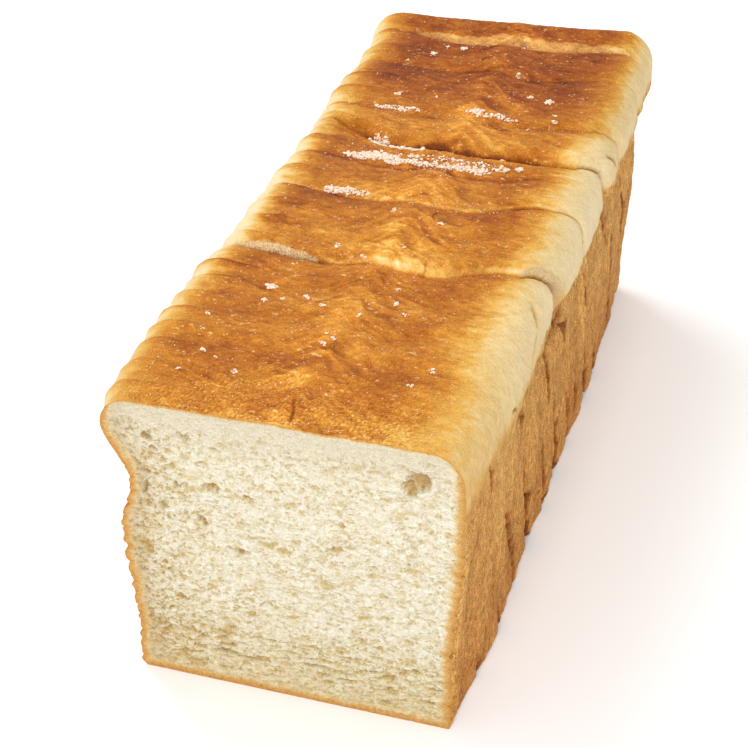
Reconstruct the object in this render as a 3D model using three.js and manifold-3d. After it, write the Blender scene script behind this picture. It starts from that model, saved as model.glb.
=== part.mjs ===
// Tin loaf: a long white loaf baked in an open tin, with one heel sliced off.
//
// The dough rose above the tin and spilled over its rim, so a broad cap overhangs the walls.
// The cap is creased across where one roll of dough folded against the next. The loaf is one
// solid: a rounded block whose skin is shaped by a few formulas, cut flat where it stands and
// where the heel came off, with the largest pores sunk in the cut and salt flakes on top.
//
// Frame: millimetres, +X across, +Y along the loaf away from the cut face, +Z up. The origin
// is the middle of the loaf's box, on the surface that it stands on.

import * as THREE from 'three';
import { mergeVertices } from 'three/addons/utils/BufferGeometryUtils.js';
import Module from 'manifold-3d';

const wasm = await Module();
wasm.setup();

// ---------------------------------------------------------------- driving dimensions
const LENGTH = 331;          // cut face to the back of the cap, on the middle line
const CAP_WIDTH = 132;       // across the cap, before its sides bulge
const HEIGHT = 125;
const CAP_RADIUS = 13;       // rounding of the cap's long edges
const BACK_RADIUS = 10;      // rounding of the cap's back edge, along the loaf
const RIM_HEIGHT = 85;       // the tin's rim, where the cap starts to overhang
const FOOT_ROUNDING = 1.2;   // how far the walls draw in at the foot, over FOOT_RISE
const FOOT_RISE = 4;

const ROLL_LENGTH = 98;      // each roll of dough takes up this much of the loaf
const SWELL = 0.9;           // the top stands this much higher over the middle of a roll
const BACK_LIP = 2;          // and over the lip along the back edge
const LIP_WIDTH = 8;

// The right side, as seen from the cut. Near the cut it slopes out evenly from `slopeFrom` up;
// from `straightFrom` to `straightTo` along the loaf this turns into a straight wall under an
// overhanging cap. The wall has a belly at its foot and narrows from `taperFrom` to `taperTo`.
const RIGHT_SIDE = {
  overhang: 4.8, waist: 1.8, waistDrop: 7, waistHeight: 9,
  slopeFrom: 20, slopeTo: RIM_HEIGHT + 20, straightFrom: 20, straightTo: 95,
  belly: 1.9, bellyAt: 42, bellyLength: 28, cutEdge: 1.4, cutEdgeLength: 9,
  taper: 2, footTaper: 3, taperFrom: 190, taperTo: 310, capCorner: 3.4, cornerLength: 17,
  rimLift: 6, rimRise: 3.5, rimRiseFrom: 225, rimRiseTo: 262,
};

// The left side: a deep waist under the cap, which stands out furthest in front of the first
// deep crease and at the back corner, and draws in for a little way behind the cut.
const LEFT_SIDE = {
  overhang: 3.8, overhangFrom: RIM_HEIGHT + 8, overhangTo: RIM_HEIGHT + 28,
  waist: 5, waistRise: 5, waistHeight: 14, cutEdge: 2.7, cutEdgeLength: 9,
  frontBulge: 1.7, creaseStep: 2.4, stepFrom: 99, stepTo: 111,
  backBulge: 1, backBulgeFrom: 200, backBulgeTo: 270,
  cornerBulge: 2.4, cornerFromEnd: 15, cornerLength: 13, footTaper: 3.5, taperFrom: 190, taperTo: 310,
};
const FOOT_HEIGHT = 70;      // the forms of the foot fade out by this height

// The back wall leans in from the rim to the foot, and the whole end is skewed: it runs out
// further on the right than on the left
const BACK = { overhang: 11, lean: 13, leanTop: 64, skew: 4.5, reach: 70 };

// Slow folds of the walls, where the dough lay against the tin
const FOLD = { depth: 0.7, spacing: 47, sway: 0.9, swayHeight: 107, groupLength: 145, groupHeight: 250 };

const ALLOWANCE = 14;        // stock in front of the cut face and under the base, cut away

// Creases across the cap. `at` is the place along the loaf; `depth` the fall of the skin, over
// `near` millimetres on the cut side and `far` on the other. On top the line of a crease has a
// `hump` in the middle and bends back by `left` and `right` towards the shoulders, and down
// the right shoulder it runs back by `slant` for each millimetre. It fades out past `from`
// and `to`, measured over the skin from the middle of the top.
const CREASES = [
  { at: 20, depth: 0.5, near: 5, far: 4, hump: 1, left: 1, right: 1, slant: 0.2, from: -60, to: 60 },
  { at: 41, depth: 0.9, near: 5, far: 4, hump: 4, left: 0, right: 1, slant: 0.3, from: -80, to: 60 },
  { at: 60, depth: 0.7, near: 5, far: 4, hump: 5, left: 0, right: 5, slant: 0.4, from: -80, to: 60 },
  { at: 82, depth: 0.7, near: 5, far: 4, hump: 4, left: 2, right: 4, slant: 0.5, from: -80, to: 50 },
  { at: 105.5, depth: 3.2, near: 4, far: 3, hump: 3.5, left: 2.5, right: 9.5, slant: 0.5, from: -92, to: 96 },
  { at: 152, depth: 2, near: 4, far: 3, hump: 2.5, left: 3, right: 10, slant: 0.35, from: -88, to: 94 },
  { at: 180, depth: 1.6, near: 5, far: 5, hump: 5, left: 6, right: 7, slant: 0.4, from: -70, to: 42 },
  { at: 193, depth: 1.5, near: 3, far: 4, hump: 2, left: 6, right: 0, slant: 0.45, from: -48, to: 30 },
  { at: 203, depth: 5.4, near: 5, far: 4, hump: 2, left: 12.5, right: 0, slant: 0.6, from: -46, to: 96 },
  { at: 227, depth: 2.2, near: 5, far: 4, hump: 4, left: 4, right: 4, slant: 0.5, from: -86, to: 92 },
  { at: 272, depth: 1.5, near: 6, far: 4, hump: 6, left: 3, right: 6, slant: 0.5, from: -84, to: 88 },
  { at: 304, depth: 2.4, near: 3, far: 4, hump: 3, left: 7, right: 4, slant: 0, from: -48, to: 62 },
];
const FADE = 10;             // a crease fades over this length at each end
const SHOULDER = 52;         // girth where the flat of the top turns into the shoulder
const CAP_GIRTH = 92;        // girth at the cap's lower edge

// A torn hollow on the right side, where the crease nearest the cut reaches the rim
const TEAR = { along: 133, height: 98, length: 9, rise: 7, depth: 5 };

// Pores in the crumb, seen on the cut face: centre across and up, half width, half height
const PORES = [
  { x: 50.5, z: 111.5, wide: 3.6, high: 4, deep: 6 },
  { x: 47.2, z: 108, wide: 2.6, high: 3.8, deep: 5 },
  { x: -30, z: 76.6, wide: 1.5, high: 2.3, deep: 2 },
  { x: -25, z: 92.2, wide: 3.2, high: 1.4, deep: 2 },
  { x: -16, z: 65.2, wide: 2.5, high: 1.2, deep: 1.6 },
  { x: -33, z: 112.2, wide: 2.3, high: 1.2, deep: 1.6 },
  { x: -47, z: 109.6, wide: 1.2, high: 1.8, deep: 1.8 },
  { x: 53, z: 119.4, wide: 3, high: 0.9, deep: 1.6 },
  { x: -21, z: 15.2, wide: 10, high: 1, deep: 2 },
  { x: 11, z: 17.6, wide: 9, high: 0.9, deep: 2 },
  { x: 36, z: 19.8, wide: 4, high: 0.9, deep: 1.6 },
];

// Salt flakes: beds of them lie in the creases, and single ones are strewn over the top.
// `from` and `to` are across the loaf; `behind` is how far past the crease the bed's middle is.
const SALT_BEDS = [
  { crease: 152, from: -34, to: -20, behind: 4, spread: 3, count: 3 },
  { crease: 180, from: -32, to: 30, behind: 3, spread: 5, count: 12 },
  { crease: 193, from: -30, to: 24, behind: 0, spread: 1.5, count: 5 },
  { crease: 203, from: -32, to: 12, behind: -4, spread: 1.5, count: 4 },
  { crease: 227, from: -38, to: 16, behind: 3, spread: 3, count: 6 },
];
const STREWN_SALT = 14;
const STREWN_REACH = 46;     // the strewn flakes lie within this distance of the middle line
const FLAKE_SIZE = 1.6;      // half length of the largest flake
const GOLDEN_STEP = 0.618034;               // steps of the golden ratio spread a row evenly
const EVEN_STEPS = [0.7548777, 0.5698403];  // and these two spread a field evenly

// ---------------------------------------------------------------- small helpers
const clamp = (value, low, high) => Math.min(high, Math.max(low, value));
const fraction = (value) => value - Math.floor(value);

/** Smooth step: 0 below `low`, 1 above `high`, an S curve between. */
function ramp(value, low, high) {
  const t = clamp((value - low) / (high - low), 0, 1);
  return t * t * (3 - 2 * t);
}

/** Bell curve: 1 at the centre, falling off over `width`. */
const bell = (distance, width) => Math.exp(-((distance / width) ** 2));

/** Values from `start` to `end` in `count` equal steps, without the start. */
function steps(start, end, count) {
  return Array.from({ length: count }, (_, i) => start + ((end - start) * (i + 1)) / count);
}

/** A solid from a geometry: shared vertices are merged, so that the mesh is closed. */
function toSolid(geometry) {
  geometry.deleteAttribute('normal');
  geometry.deleteAttribute('uv');
  const merged = mergeVertices(geometry, 1e-3);
  return new wasm.Manifold(new wasm.Mesh({
    numProp: 3,
    vertProperties: new Float32Array(merged.attributes.position.array),
    triVerts: new Uint32Array(merged.index.array),
  }));
}

/** The geometry of a solid, with flat facets. */
function toGeometry(solid) {
  const mesh = solid.getMesh();
  const geometry = new THREE.BufferGeometry();
  geometry.setAttribute('position', new THREE.BufferAttribute(new Float32Array(mesh.vertProperties), 3));
  geometry.setIndex(new THREE.BufferAttribute(new Uint32Array(mesh.triVerts), 1));
  return geometry;
}

/** A box between two corners, as a solid. */
function blockBetween(low, high) {
  const geometry = new THREE.BoxGeometry(high[0] - low[0], high[1] - low[1], high[2] - low[2]);
  geometry.translate((low[0] + high[0]) / 2, (low[1] + high[1]) / 2, (low[2] + high[2]) / 2);
  return toSolid(geometry);
}

// ---------------------------------------------------------------- lines of the creases
/** A crease's field at a place along the loaf, running straight from one crease to the next. */
function alongCreases(along, field) {
  const stops = [{ at: 0, [field]: 0 }, ...CREASES, { at: LENGTH, [field]: 0 }];
  const next = stops.findIndex((stop) => stop.at > along);
  if (along <= 0 || next < 0) {
    return 0;
  }
  const [a, b] = [stops[next - 1], stops[next]];
  return THREE.MathUtils.mapLinear(along, a.at, b.at, a[field], b[field]);
}

/** How far the skin at this girth lies behind its place on a straight row across the loaf. */
function rowBend(along, girth) {
  const hump = alongCreases(along, 'hump') * bell(girth, 9);
  const side = girth < 0 ? 'left' : 'right';
  const bend = alongCreases(along, side) * ramp(Math.abs(girth), 22, 48);
  const downShoulder = clamp(girth, SHOULDER + 4, CAP_GIRTH) - (SHOULDER + 4);
  return hump + bend + alongCreases(along, 'slant') * downShoulder;
}

/** How deep the creases sink the skin, at a place along the loaf and a girth. */
function creaseDepth(along, girth) {
  let depth = 0;
  for (const crease of CREASES) {
    const distance = along - crease.at;
    const slope = bell(distance, distance < 0 ? crease.near : crease.far);
    const reach = ramp(girth, crease.from - FADE, crease.from) * ramp(-girth, -crease.to - FADE, -crease.to);
    const shoulder = 1 - 0.35 * ramp(Math.abs(girth), 40, 60);
    depth = Math.max(depth, crease.depth * slope * reach * shoulder);
  }
  return depth;
}

// ---------------------------------------------------------------- walls
/** How much of a form of the foot is felt at this height. */
const footShare = (z) => 1 - ramp(z, 0, FOOT_HEIGHT);

/** How far the right side lies inside the block's face. */
function rightInset(along, z) {
  const side = RIGHT_SIDE;
  const rim = RIM_HEIGHT + side.rimLift + side.rimRise * ramp(along, side.rimRiseFrom, side.rimRiseTo);
  const straight = ramp(along, side.straightFrom, side.straightTo);
  const slope = 1 - ramp(z, side.slopeFrom, side.slopeTo);
  const wall = 1 - ramp(z, rim - 4, rim + 8);
  const overhang = side.overhang * THREE.MathUtils.lerp(slope, wall, straight);
  const waist = side.waist * straight * bell(z - (rim - side.waistDrop), side.waistHeight);
  const narrowing = ramp(along, side.taperFrom, side.taperTo);
  const corner = side.capCorner * bell(along - LENGTH, side.cornerLength) * ramp(z, rim - 10, rim + 5);
  const belly = side.belly * bell(along - side.bellyAt, side.bellyLength)
    - side.cutEdge * bell(along, side.cutEdgeLength);
  const foot = footShare(z) * (side.footTaper * narrowing - belly);
  return overhang + waist + side.taper * narrowing + corner + foot;
}

/** How far the left side lies inside the block's face. */
function leftInset(along, z) {
  const side = LEFT_SIDE;
  const overhang = side.overhang * (1 - ramp(z, side.overhangFrom, side.overhangTo));
  const waist = side.waist * bell(z - (RIM_HEIGHT + side.waistRise), side.waistHeight);
  const bulge = side.frontBulge - side.creaseStep * ramp(along, side.stepFrom, side.stepTo)
    + side.backBulge * ramp(along, side.backBulgeFrom, side.backBulgeTo);
  const corner = side.cornerBulge * bell(along - (LENGTH - side.cornerFromEnd), side.cornerLength)
    * ramp(z, RIM_HEIGHT, RIM_HEIGHT + 20);
  const cutEdge = side.cutEdge * bell(along, side.cutEdgeLength);
  const foot = footShare(z) * side.footTaper * ramp(along, side.taperFrom, side.taperTo);
  return overhang + waist + cutEdge + foot - bulge - corner;
}

/** How far the back wall lies inside the back of the cap. */
function backInset(z) {
  const rim = RIM_HEIGHT + RIGHT_SIDE.rimLift + RIGHT_SIDE.rimRise;
  const overhang = BACK.overhang * (1 - ramp(z, rim - 8, rim + 8));
  return overhang + BACK.lean * (1 - ramp(z, -BACK.leanTop / 6, BACK.leanTop));
}

/** How far the slow folds sink the walls: waves along the loaf that sway with height. */
function foldDepth(along, z) {
  const turn = 2 * Math.PI;
  const wave = Math.sin((turn * along) / FOLD.spacing + FOLD.sway * Math.sin((turn * z) / FOLD.swayHeight));
  const group = Math.sin(turn * (along / FOLD.groupLength + z / FOLD.groupHeight));
  return FOLD.depth * wave * group * (1 - ramp(z, RIM_HEIGHT - 16, RIM_HEIGHT));
}

// ---------------------------------------------------------------- the form of the skin
/** Rounds the cap's edges: a point outside the core block is drawn in to the radii. */
function roundEdges(point) {
  const radii = new THREE.Vector3(CAP_RADIUS, BACK_RADIUS, CAP_RADIUS);
  const core = new THREE.Vector3(
    clamp(point.x, CAP_RADIUS - CAP_WIDTH / 2, CAP_WIDTH / 2 - CAP_RADIUS),
    Math.min(point.y, LENGTH - BACK_RADIUS),
    Math.min(point.z, HEIGHT - CAP_RADIUS),
  );
  const normal = point.clone().sub(core).divide(radii);
  if (normal.lengthSq() === 0) {
    return { place: point.clone(), normal };
  }
  normal.normalize();
  return { place: core.add(normal.clone().multiply(radii)), normal };
}

/** How far the top stands above the block: over each roll of dough and along the back lip. */
function swellHeight(along) {
  const roll = SWELL * Math.sin((Math.PI * along) / ROLL_LENGTH) ** 2 * ramp(LENGTH - along, 20, 45);
  return roll + BACK_LIP * bell(along - (LENGTH - BACK_RADIUS + 1), LIP_WIDTH);
}

/** Moves a point of the plain block to its place on the loaf. */
function loafPoint(point) {
  const { place, normal } = roundEdges(point);
  const along = place.y;
  const girth = place.x + Math.sign(place.x) * (HEIGHT - place.z);
  const onCap = ramp(place.z, RIM_HEIGHT - 6, RIM_HEIGHT + 4);
  const sink = (creaseDepth(along, girth) - swellHeight(along)) * onCap;
  const shaped = place.clone().addScaledVector(normal, -sink);

  const side = Math.sign(place.x) * ramp(Math.abs(place.x), CAP_WIDTH * 0.3, CAP_WIDTH * 0.46);
  const inset = place.x > 0 ? rightInset(along, place.z) : leftInset(along, place.z);
  const foot = FOOT_ROUNDING * clamp(1 - place.z / FOOT_RISE, 0, 1) ** 2;
  shaped.x -= side * (inset + foot + foldDepth(along, place.z));

  const nearEnd = ramp(along, LENGTH - BACK.reach, LENGTH);
  const skew = (BACK.skew * place.x) / (CAP_WIDTH / 2);
  shaped.y += nearEnd * (skew - backInset(place.z) - foot) + rowBend(along, girth);
  return shaped;
}

/** The torn hollow pushes the right side in, where a crease ends over the rim. */
function sinkTear(point) {
  if (point.x > 0) {
    const near = bell(point.y - TEAR.along, TEAR.length) * bell(point.z - TEAR.height, TEAR.rise);
    point.x -= TEAR.depth * near * ramp(point.x, CAP_WIDTH * 0.4, CAP_WIDTH * 0.46);
  }
  return point;
}

// ---------------------------------------------------------------- rows and columns
/** Places of the columns from the left side to the right, closer together on the shoulders. */
function columns() {
  const half = CAP_WIDTH / 2;
  const turn = CAP_RADIUS * Math.tan(Math.PI / 8);
  const right = [...steps(0, half - CAP_RADIUS, 7), half - CAP_RADIUS + turn, half];
  return [...right.map((x) => -x).reverse(), 0, ...right];
}

/** Heights of the levels from under the base to the top, closer together about the rim. */
function levels() {
  const turn = CAP_RADIUS * Math.tan(Math.PI / 8);
  const upper = HEIGHT - CAP_RADIUS;
  return [-6, 0.5, 4, ...steps(4, RIM_HEIGHT - 12, 7), ...steps(RIM_HEIGHT - 12, RIM_HEIGHT + 15, 6),
    ...steps(RIM_HEIGHT + 15, upper, 2), upper + turn, HEIGHT];
}

/** Places of the rows from in front of the cut face to the back, with some in each crease. */
function rows() {
  const longest = 9;
  const inCreases = CREASES.flatMap(({ at, near, far, depth }) => (
    depth < 1 ? [at - near, at, at + far] : [at - near, at - near / 2, at, at + far / 2, at + far]));
  const lastRow = LENGTH - BACK_RADIUS;
  const wanted = [0, ...inCreases, lastRow].sort((a, b) => a - b);
  const apart = wanted.filter((y, i) => i === 0 || y - wanted[i - 1] > 1.4);
  const filled = apart.flatMap((y, i) => (
    i === 0 ? [y] : steps(apart[i - 1], y, Math.ceil((y - apart[i - 1]) / longest))));
  const turn = BACK_RADIUS * Math.tan(Math.PI / 8);
  return [-ALLOWANCE, ...filled.filter((y) => y <= lastRow), lastRow + turn, LENGTH];
}

/** The skin of the uncut loaf: a block divided into rows and columns, each vertex moved. */
function loafSkin() {
  const [xs, ys, zs] = [columns(), rows(), levels()];
  const [nx, ny, nz] = [xs.length - 1, ys.length - 1, zs.length - 1];
  const geometry = new THREE.BoxGeometry(1, 1, 1, nx, ny, nz);
  const position = geometry.attributes.position;
  for (let i = 0; i < position.count; i += 1) {
    const column = Math.round((position.getX(i) + 0.5) * nx);
    const row = Math.round((position.getY(i) + 0.5) * ny);
    const level = Math.round((position.getZ(i) + 0.5) * nz);
    const point = sinkTear(loafPoint(new THREE.Vector3(xs[column], ys[row], zs[level])));
    position.setXYZ(i, point.x, point.y, point.z);
  }
  return geometry;
}

// ---------------------------------------------------------------- pores and salt
/** A pore: a low-sided egg whose middle lies on the cut face. */
function pore({ x, z, wide, high, deep }) {
  const geometry = new THREE.SphereGeometry(1, 8, 5);
  geometry.scale(wide, deep, high);
  geometry.translate(x, 0, z);
  return toSolid(geometry);
}

/** Centres of the salt flakes across and along the loaf, by an even golden-ratio spread. */
function saltPlaces() {
  const places = [];
  for (const bed of SALT_BEDS) {
    for (let i = 0; i < bed.count; i += 1) {
      const x = bed.from + ((bed.to - bed.from) * (i + 0.5)) / bed.count;
      const y = bed.crease + bed.behind + bed.spread * (2 * fraction(0.3 + i * GOLDEN_STEP) - 1);
      places.push([x, y + rowBend(bed.crease, x)]);
    }
  }
  for (let i = 0; i < STREWN_SALT; i += 1) {
    const x = STREWN_REACH * (2 * fraction(0.5 + i * EVEN_STEPS[0]) - 1);
    places.push([x, LENGTH * (0.04 + 0.9 * fraction(0.5 + i * EVEN_STEPS[1]))]);
  }
  return places;
}

/** One salt flake: a flattened twenty-sided crystal, turned by its number. */
function saltFlake(number, x, y, z) {
  const size = FLAKE_SIZE * (0.7 + 0.3 * fraction(0.2 + number * GOLDEN_STEP));
  const geometry = new THREE.IcosahedronGeometry(1, 0);
  geometry.scale(size, size * 0.75, size * 0.6);
  geometry.rotateX(0.5 * Math.sin(number * 2.1));
  geometry.rotateZ(number * 2.4);
  geometry.translate(x, y, z + size * 0.15);
  return toSolid(geometry);
}

/** The height of the crust under each salt flake, found by looking straight down. */
function crustHeight(mesh, x, y) {
  const down = new THREE.Raycaster(new THREE.Vector3(x, y, HEIGHT * 2), new THREE.Vector3(0, 0, -1));
  return down.intersectObject(mesh)[0].point.z;
}

// ---------------------------------------------------------------- the loaf
function makeLoaf() {
  let loaf = toSolid(loafSkin());
  const [wide, long] = [CAP_WIDTH, LENGTH * 1.2];
  loaf = loaf.subtract(blockBetween([-wide, -long, -ALLOWANCE * 2], [wide, long, 0]));
  loaf = loaf.subtract(blockBetween([-wide, -ALLOWANCE * 2, -wide], [wide, 0, wide * 2]));
  for (const size of PORES) {
    loaf = loaf.subtract(pore(size));
  }
  const crust = new THREE.Mesh(toGeometry(loaf));
  saltPlaces().forEach(([x, y], number) => {
    loaf = loaf.add(saltFlake(number, x, y, crustHeight(crust, x, y)));
  });

  const geometry = toGeometry(loaf);
  geometry.computeBoundingBox();
  const { min, max } = geometry.boundingBox;
  geometry.translate(-(min.x + max.x) / 2, -(min.y + max.y) / 2, -min.z);
  geometry.computeVertexNormals();
  return geometry;
}

const bakedCrust = new THREE.MeshStandardMaterial({
  color: 0xc98a45, roughness: 0.6, metalness: 0, flatShading: true,
});
const loaf = new THREE.Mesh(makeLoaf(), bakedCrust);
loaf.name = 'loaf';

const group = new THREE.Group();
group.add(loaf);

export default group;
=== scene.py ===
# %% [markdown]
# # A tin loaf
# The object is a long white loaf, baked in an open tin, with one heel sliced off so that the
# crumb shows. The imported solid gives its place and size, and this script dresses it: a fine crust
# that follows the same form, the cut crumb, and the salt on top. Lengths are in millimetres
# until a mesh is made, because that is how a baker would give them.

# %% Load the frame
import itertools
import math
from types import SimpleNamespace

import bpy
import numpy as np
from mathutils import Matrix, Vector


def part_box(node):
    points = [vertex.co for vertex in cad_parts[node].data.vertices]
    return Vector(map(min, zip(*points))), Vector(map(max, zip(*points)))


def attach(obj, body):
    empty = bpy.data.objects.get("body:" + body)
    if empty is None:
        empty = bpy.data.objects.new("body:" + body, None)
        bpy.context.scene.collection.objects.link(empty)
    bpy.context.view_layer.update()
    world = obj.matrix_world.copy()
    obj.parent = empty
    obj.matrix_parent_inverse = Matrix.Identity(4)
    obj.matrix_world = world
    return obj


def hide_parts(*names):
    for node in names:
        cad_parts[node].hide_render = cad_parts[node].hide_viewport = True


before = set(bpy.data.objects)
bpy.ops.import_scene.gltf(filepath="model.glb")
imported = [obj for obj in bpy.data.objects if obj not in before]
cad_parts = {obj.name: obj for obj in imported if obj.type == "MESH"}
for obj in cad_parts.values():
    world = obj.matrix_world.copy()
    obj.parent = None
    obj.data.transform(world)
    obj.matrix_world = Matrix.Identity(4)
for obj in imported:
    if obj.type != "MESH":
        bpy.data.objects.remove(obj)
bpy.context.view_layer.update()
solid_low, solid_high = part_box("loaf")
MM = 0.001                                    # metres in a millimetre
WIDEST_LEFT, WIDEST_RIGHT = -69.888, 66.899   # of the form below, which the solid's box centres
SHIFT = np.array([
    (solid_low.x + solid_high.x) / 2 / MM - (WIDEST_LEFT + WIDEST_RIGHT) / 2,
    solid_low.y / MM,
    solid_low.z / MM,
])

# %% [markdown]
# ## Smooth steps, bells and noise
# Every form below is a sum of a few simple curves. A ramp goes from nothing to all of something,
# and a bell is a bump with soft sides. Dough is never even, so a third helper makes noise: a
# field of soft hills that is the same in every run, because its hills come from whole numbers.

# %% Ramp, bell, window and turn
def ramp(value, low, high):
    """0 below `low` and 1 above `high`; between them t * t * (3 - 2t), an S curve."""
    t = np.clip((value - low) / (high - low), 0, 1)
    return t * t * (3 - 2 * t)


def bell(distance, width):
    """e to the power of minus the square of distance / width: 1 at the middle."""
    return np.exp(-((distance / width) ** 2))


def window(value, low, high, fade):
    """1 between `low` and `high`, falling to 0 over `fade` on both sides."""
    return ramp(value, low - fade, low) * ramp(-value, -high - fade, -high)


def turned(u, v, angle):
    """A plane's two measures after a turn: u cos - v sin, and u sin + v cos."""
    return u * np.cos(angle) - v * np.sin(angle), u * np.sin(angle) + v * np.cos(angle)


# %% Noise
def scramble(x, y, z, seed):
    """A whole number for each lattice point: the sum of products with primes, then mixed."""
    primes = (374761393, 668265263, 2147483647)
    number = np.uint32((seed * 3266489917) & 0xFFFFFFFF)
    for place, prime in zip((x, y, z), primes):
        number = number + place.astype(np.int64).astype(np.uint32) * np.uint32(prime)
    for shift, prime in ((15, 2246822519), (13, 3266489917)):
        number = (number ^ (number >> np.uint32(shift))) * np.uint32(prime)
    return number ^ (number >> np.uint32(16))


NOISE_GAIN = 1.5  # brings the noise below to about -1 to 1


def noise(x, y, z, seed):
    """Gradient noise from about -1 to 1. Each corner of a unit cell has a slope of its own, and
    the eight slopes are mixed by how near the point is to each corner."""
    x, y, z = np.broadcast_arrays(x, y, z)
    cells = [np.floor(v) for v in (x, y, z)]
    parts = [v - c for v, c in zip((x, y, z), cells)]
    eased = [t**3 * (t * (t * 6 - 15) + 10) for t in parts]
    total = np.zeros(x.shape)
    for corner in itertools.product((0, 1), repeat=3):
        number = scramble(*(c + k for c, k in zip(cells, corner)), seed)
        weight, slope = 1.0, 0.0
        for axis, k in enumerate(corner):
            weight = weight * (eased[axis] if k else 1 - eased[axis])
            ten_bits = (number >> np.uint32(10 * axis)) & np.uint32(1023)
            slope = slope + (ten_bits / 511.5 - 1) * (parts[axis] - k)
        total += weight * slope
    return NOISE_GAIN * total


sample = noise(np.linspace(0, 50, 4000), np.zeros(4000), np.zeros(4000), 1)
print(f"noise runs from {sample.min():.2f} to {sample.max():.2f}")

# %% [markdown]
# ## The form of the loaf
# The dough rose above the tin and spilled over its rim, so a broad cap overhangs the walls. The
# form is the solid's: a block with rounded upper edges, whose sides are drawn in under the cap
# and whose skin sinks where one roll of dough folds against the next. It could be sculpted, but
# the same few formulas as the solid's keep the two alike to a fraction of a millimetre.

# %% Sizes of the form
LENGTH, CAP_WIDTH, HEIGHT = 331.0, 132.0, 125.0
HALF = CAP_WIDTH / 2
CAP_RADIUS, BACK_RADIUS = 13.0, 10.0
RIM_HEIGHT = 85.0            # the tin's rim, where the cap starts to overhang
FOOT_ROUNDING, FOOT_RISE, FOOT_HEIGHT = 1.2, 4.0, 70.0
ROLL_LENGTH, SWELL = 98.0, 0.9
BACK_LIP, LIP_WIDTH = 2.0, 8.0
RIGHT = SimpleNamespace(
    overhang=4.8, waist=1.8, waist_drop=7, waist_height=9, slope_from=20, slope_to=105,
    straight_from=20, straight_to=95, belly=1.9, belly_at=42, belly_length=28, cut_edge=1.4,
    cut_edge_length=9, taper=2, foot_taper=3, taper_from=190, taper_to=310, corner=3.4,
    corner_length=17, rim_lift=6, rim_rise=3.5, rise_from=225, rise_to=262)
LEFT = SimpleNamespace(
    overhang=3.8, overhang_from=93, overhang_to=113, waist=5, waist_at=90, waist_height=14,
    cut_edge=2.7, cut_edge_length=9, front_bulge=1.7, crease_step=2.4, step_from=99, step_to=111,
    back_bulge=1, back_from=200, back_to=270, corner=2.4, corner_at=316, corner_length=13,
    foot_taper=3.5, taper_from=190, taper_to=310)
BACK = SimpleNamespace(overhang=11, lean=13, lean_top=64, skew=4.5, reach=70)
FOLD = SimpleNamespace(
    depth=0.7, spacing=47, sway=0.9, sway_height=107, group_length=145, group_height=250)
TEAR = SimpleNamespace(along=133, height=98, length=9, rise=7, depth=5)
SHOULDER, CAP_GIRTH, FADE = 52, 92, 10

# %% [markdown]
# The creases run across the cap from shoulder to shoulder. Girth is measured over the skin from
# the middle of the top, so one number says how far round the cap a point lies. Each row of the
# table gives a crease's place along the loaf, its depth, how softly it falls on its two sides,
# how its line bends, and the girth where it starts and stops.

# %% Creases
CREASE_FIELDS = ("at", "depth", "near", "far", "hump", "left", "right", "slant", "start", "stop")
CREASES = dict(zip(CREASE_FIELDS, np.array([
    (20, 0.5, 5, 4, 1, 1, 1, 0.2, -60, 60),
    (41, 0.9, 5, 4, 4, 0, 1, 0.3, -80, 60),
    (60, 0.7, 5, 4, 5, 0, 5, 0.4, -80, 60),
    (82, 0.7, 5, 4, 4, 2, 4, 0.5, -80, 50),
    (105.5, 3.2, 4, 3, 3.5, 2.5, 9.5, 0.5, -92, 96),
    (152, 2.0, 4, 3, 2.5, 3, 10, 0.35, -88, 94),
    (180, 1.6, 5, 5, 5, 6, 7, 0.4, -70, 42),
    (193, 1.5, 3, 4, 2, 6, 0, 0.45, -48, 30),
    (203, 5.4, 5, 4, 2, 12.5, 0, 0.6, -46, 96),
    (227, 2.2, 5, 4, 4, 4, 4, 0.5, -86, 92),
    (272, 1.5, 6, 4, 6, 3, 6, 0.5, -84, 88),
    (304, 2.4, 3, 4, 3, 7, 4, 0.0, -48, 62),
]).T))


def along_creases(along, field):
    """A crease's field, running straight from one crease to the next and to 0 at both ends."""
    return np.interp(along, [0, *CREASES["at"], LENGTH], [0, *CREASES[field], 0])


def row_bend(along, girth):
    """How far behind its straight row the skin lies: a hump in the middle, a bend towards each
    shoulder, and a slant down the right shoulder."""
    hump = along_creases(along, "hump") * bell(girth, 9)
    side = np.where(girth < 0, along_creases(along, "left"), along_creases(along, "right"))
    down = np.clip(girth, SHOULDER + 4, CAP_GIRTH) - (SHOULDER + 4)
    return hump + side * ramp(np.abs(girth), 22, 48) + along_creases(along, "slant") * down


def crease_depth(along, girth):
    """The deepest of all creases at each point: depth times a bell across its line, times a
    window over the girth, and a little less on the shoulders."""
    deepest = np.zeros(np.shape(along))
    for at, depth, near, far, *_, start, stop in zip(*CREASES.values()):
        distance = along - at
        slope = bell(distance, np.where(distance < 0, near, far))
        deepest = np.maximum(deepest, depth * slope * window(girth, start, stop, FADE))
    return deepest * (1 - 0.35 * ramp(np.abs(girth), 40, 60))


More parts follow.
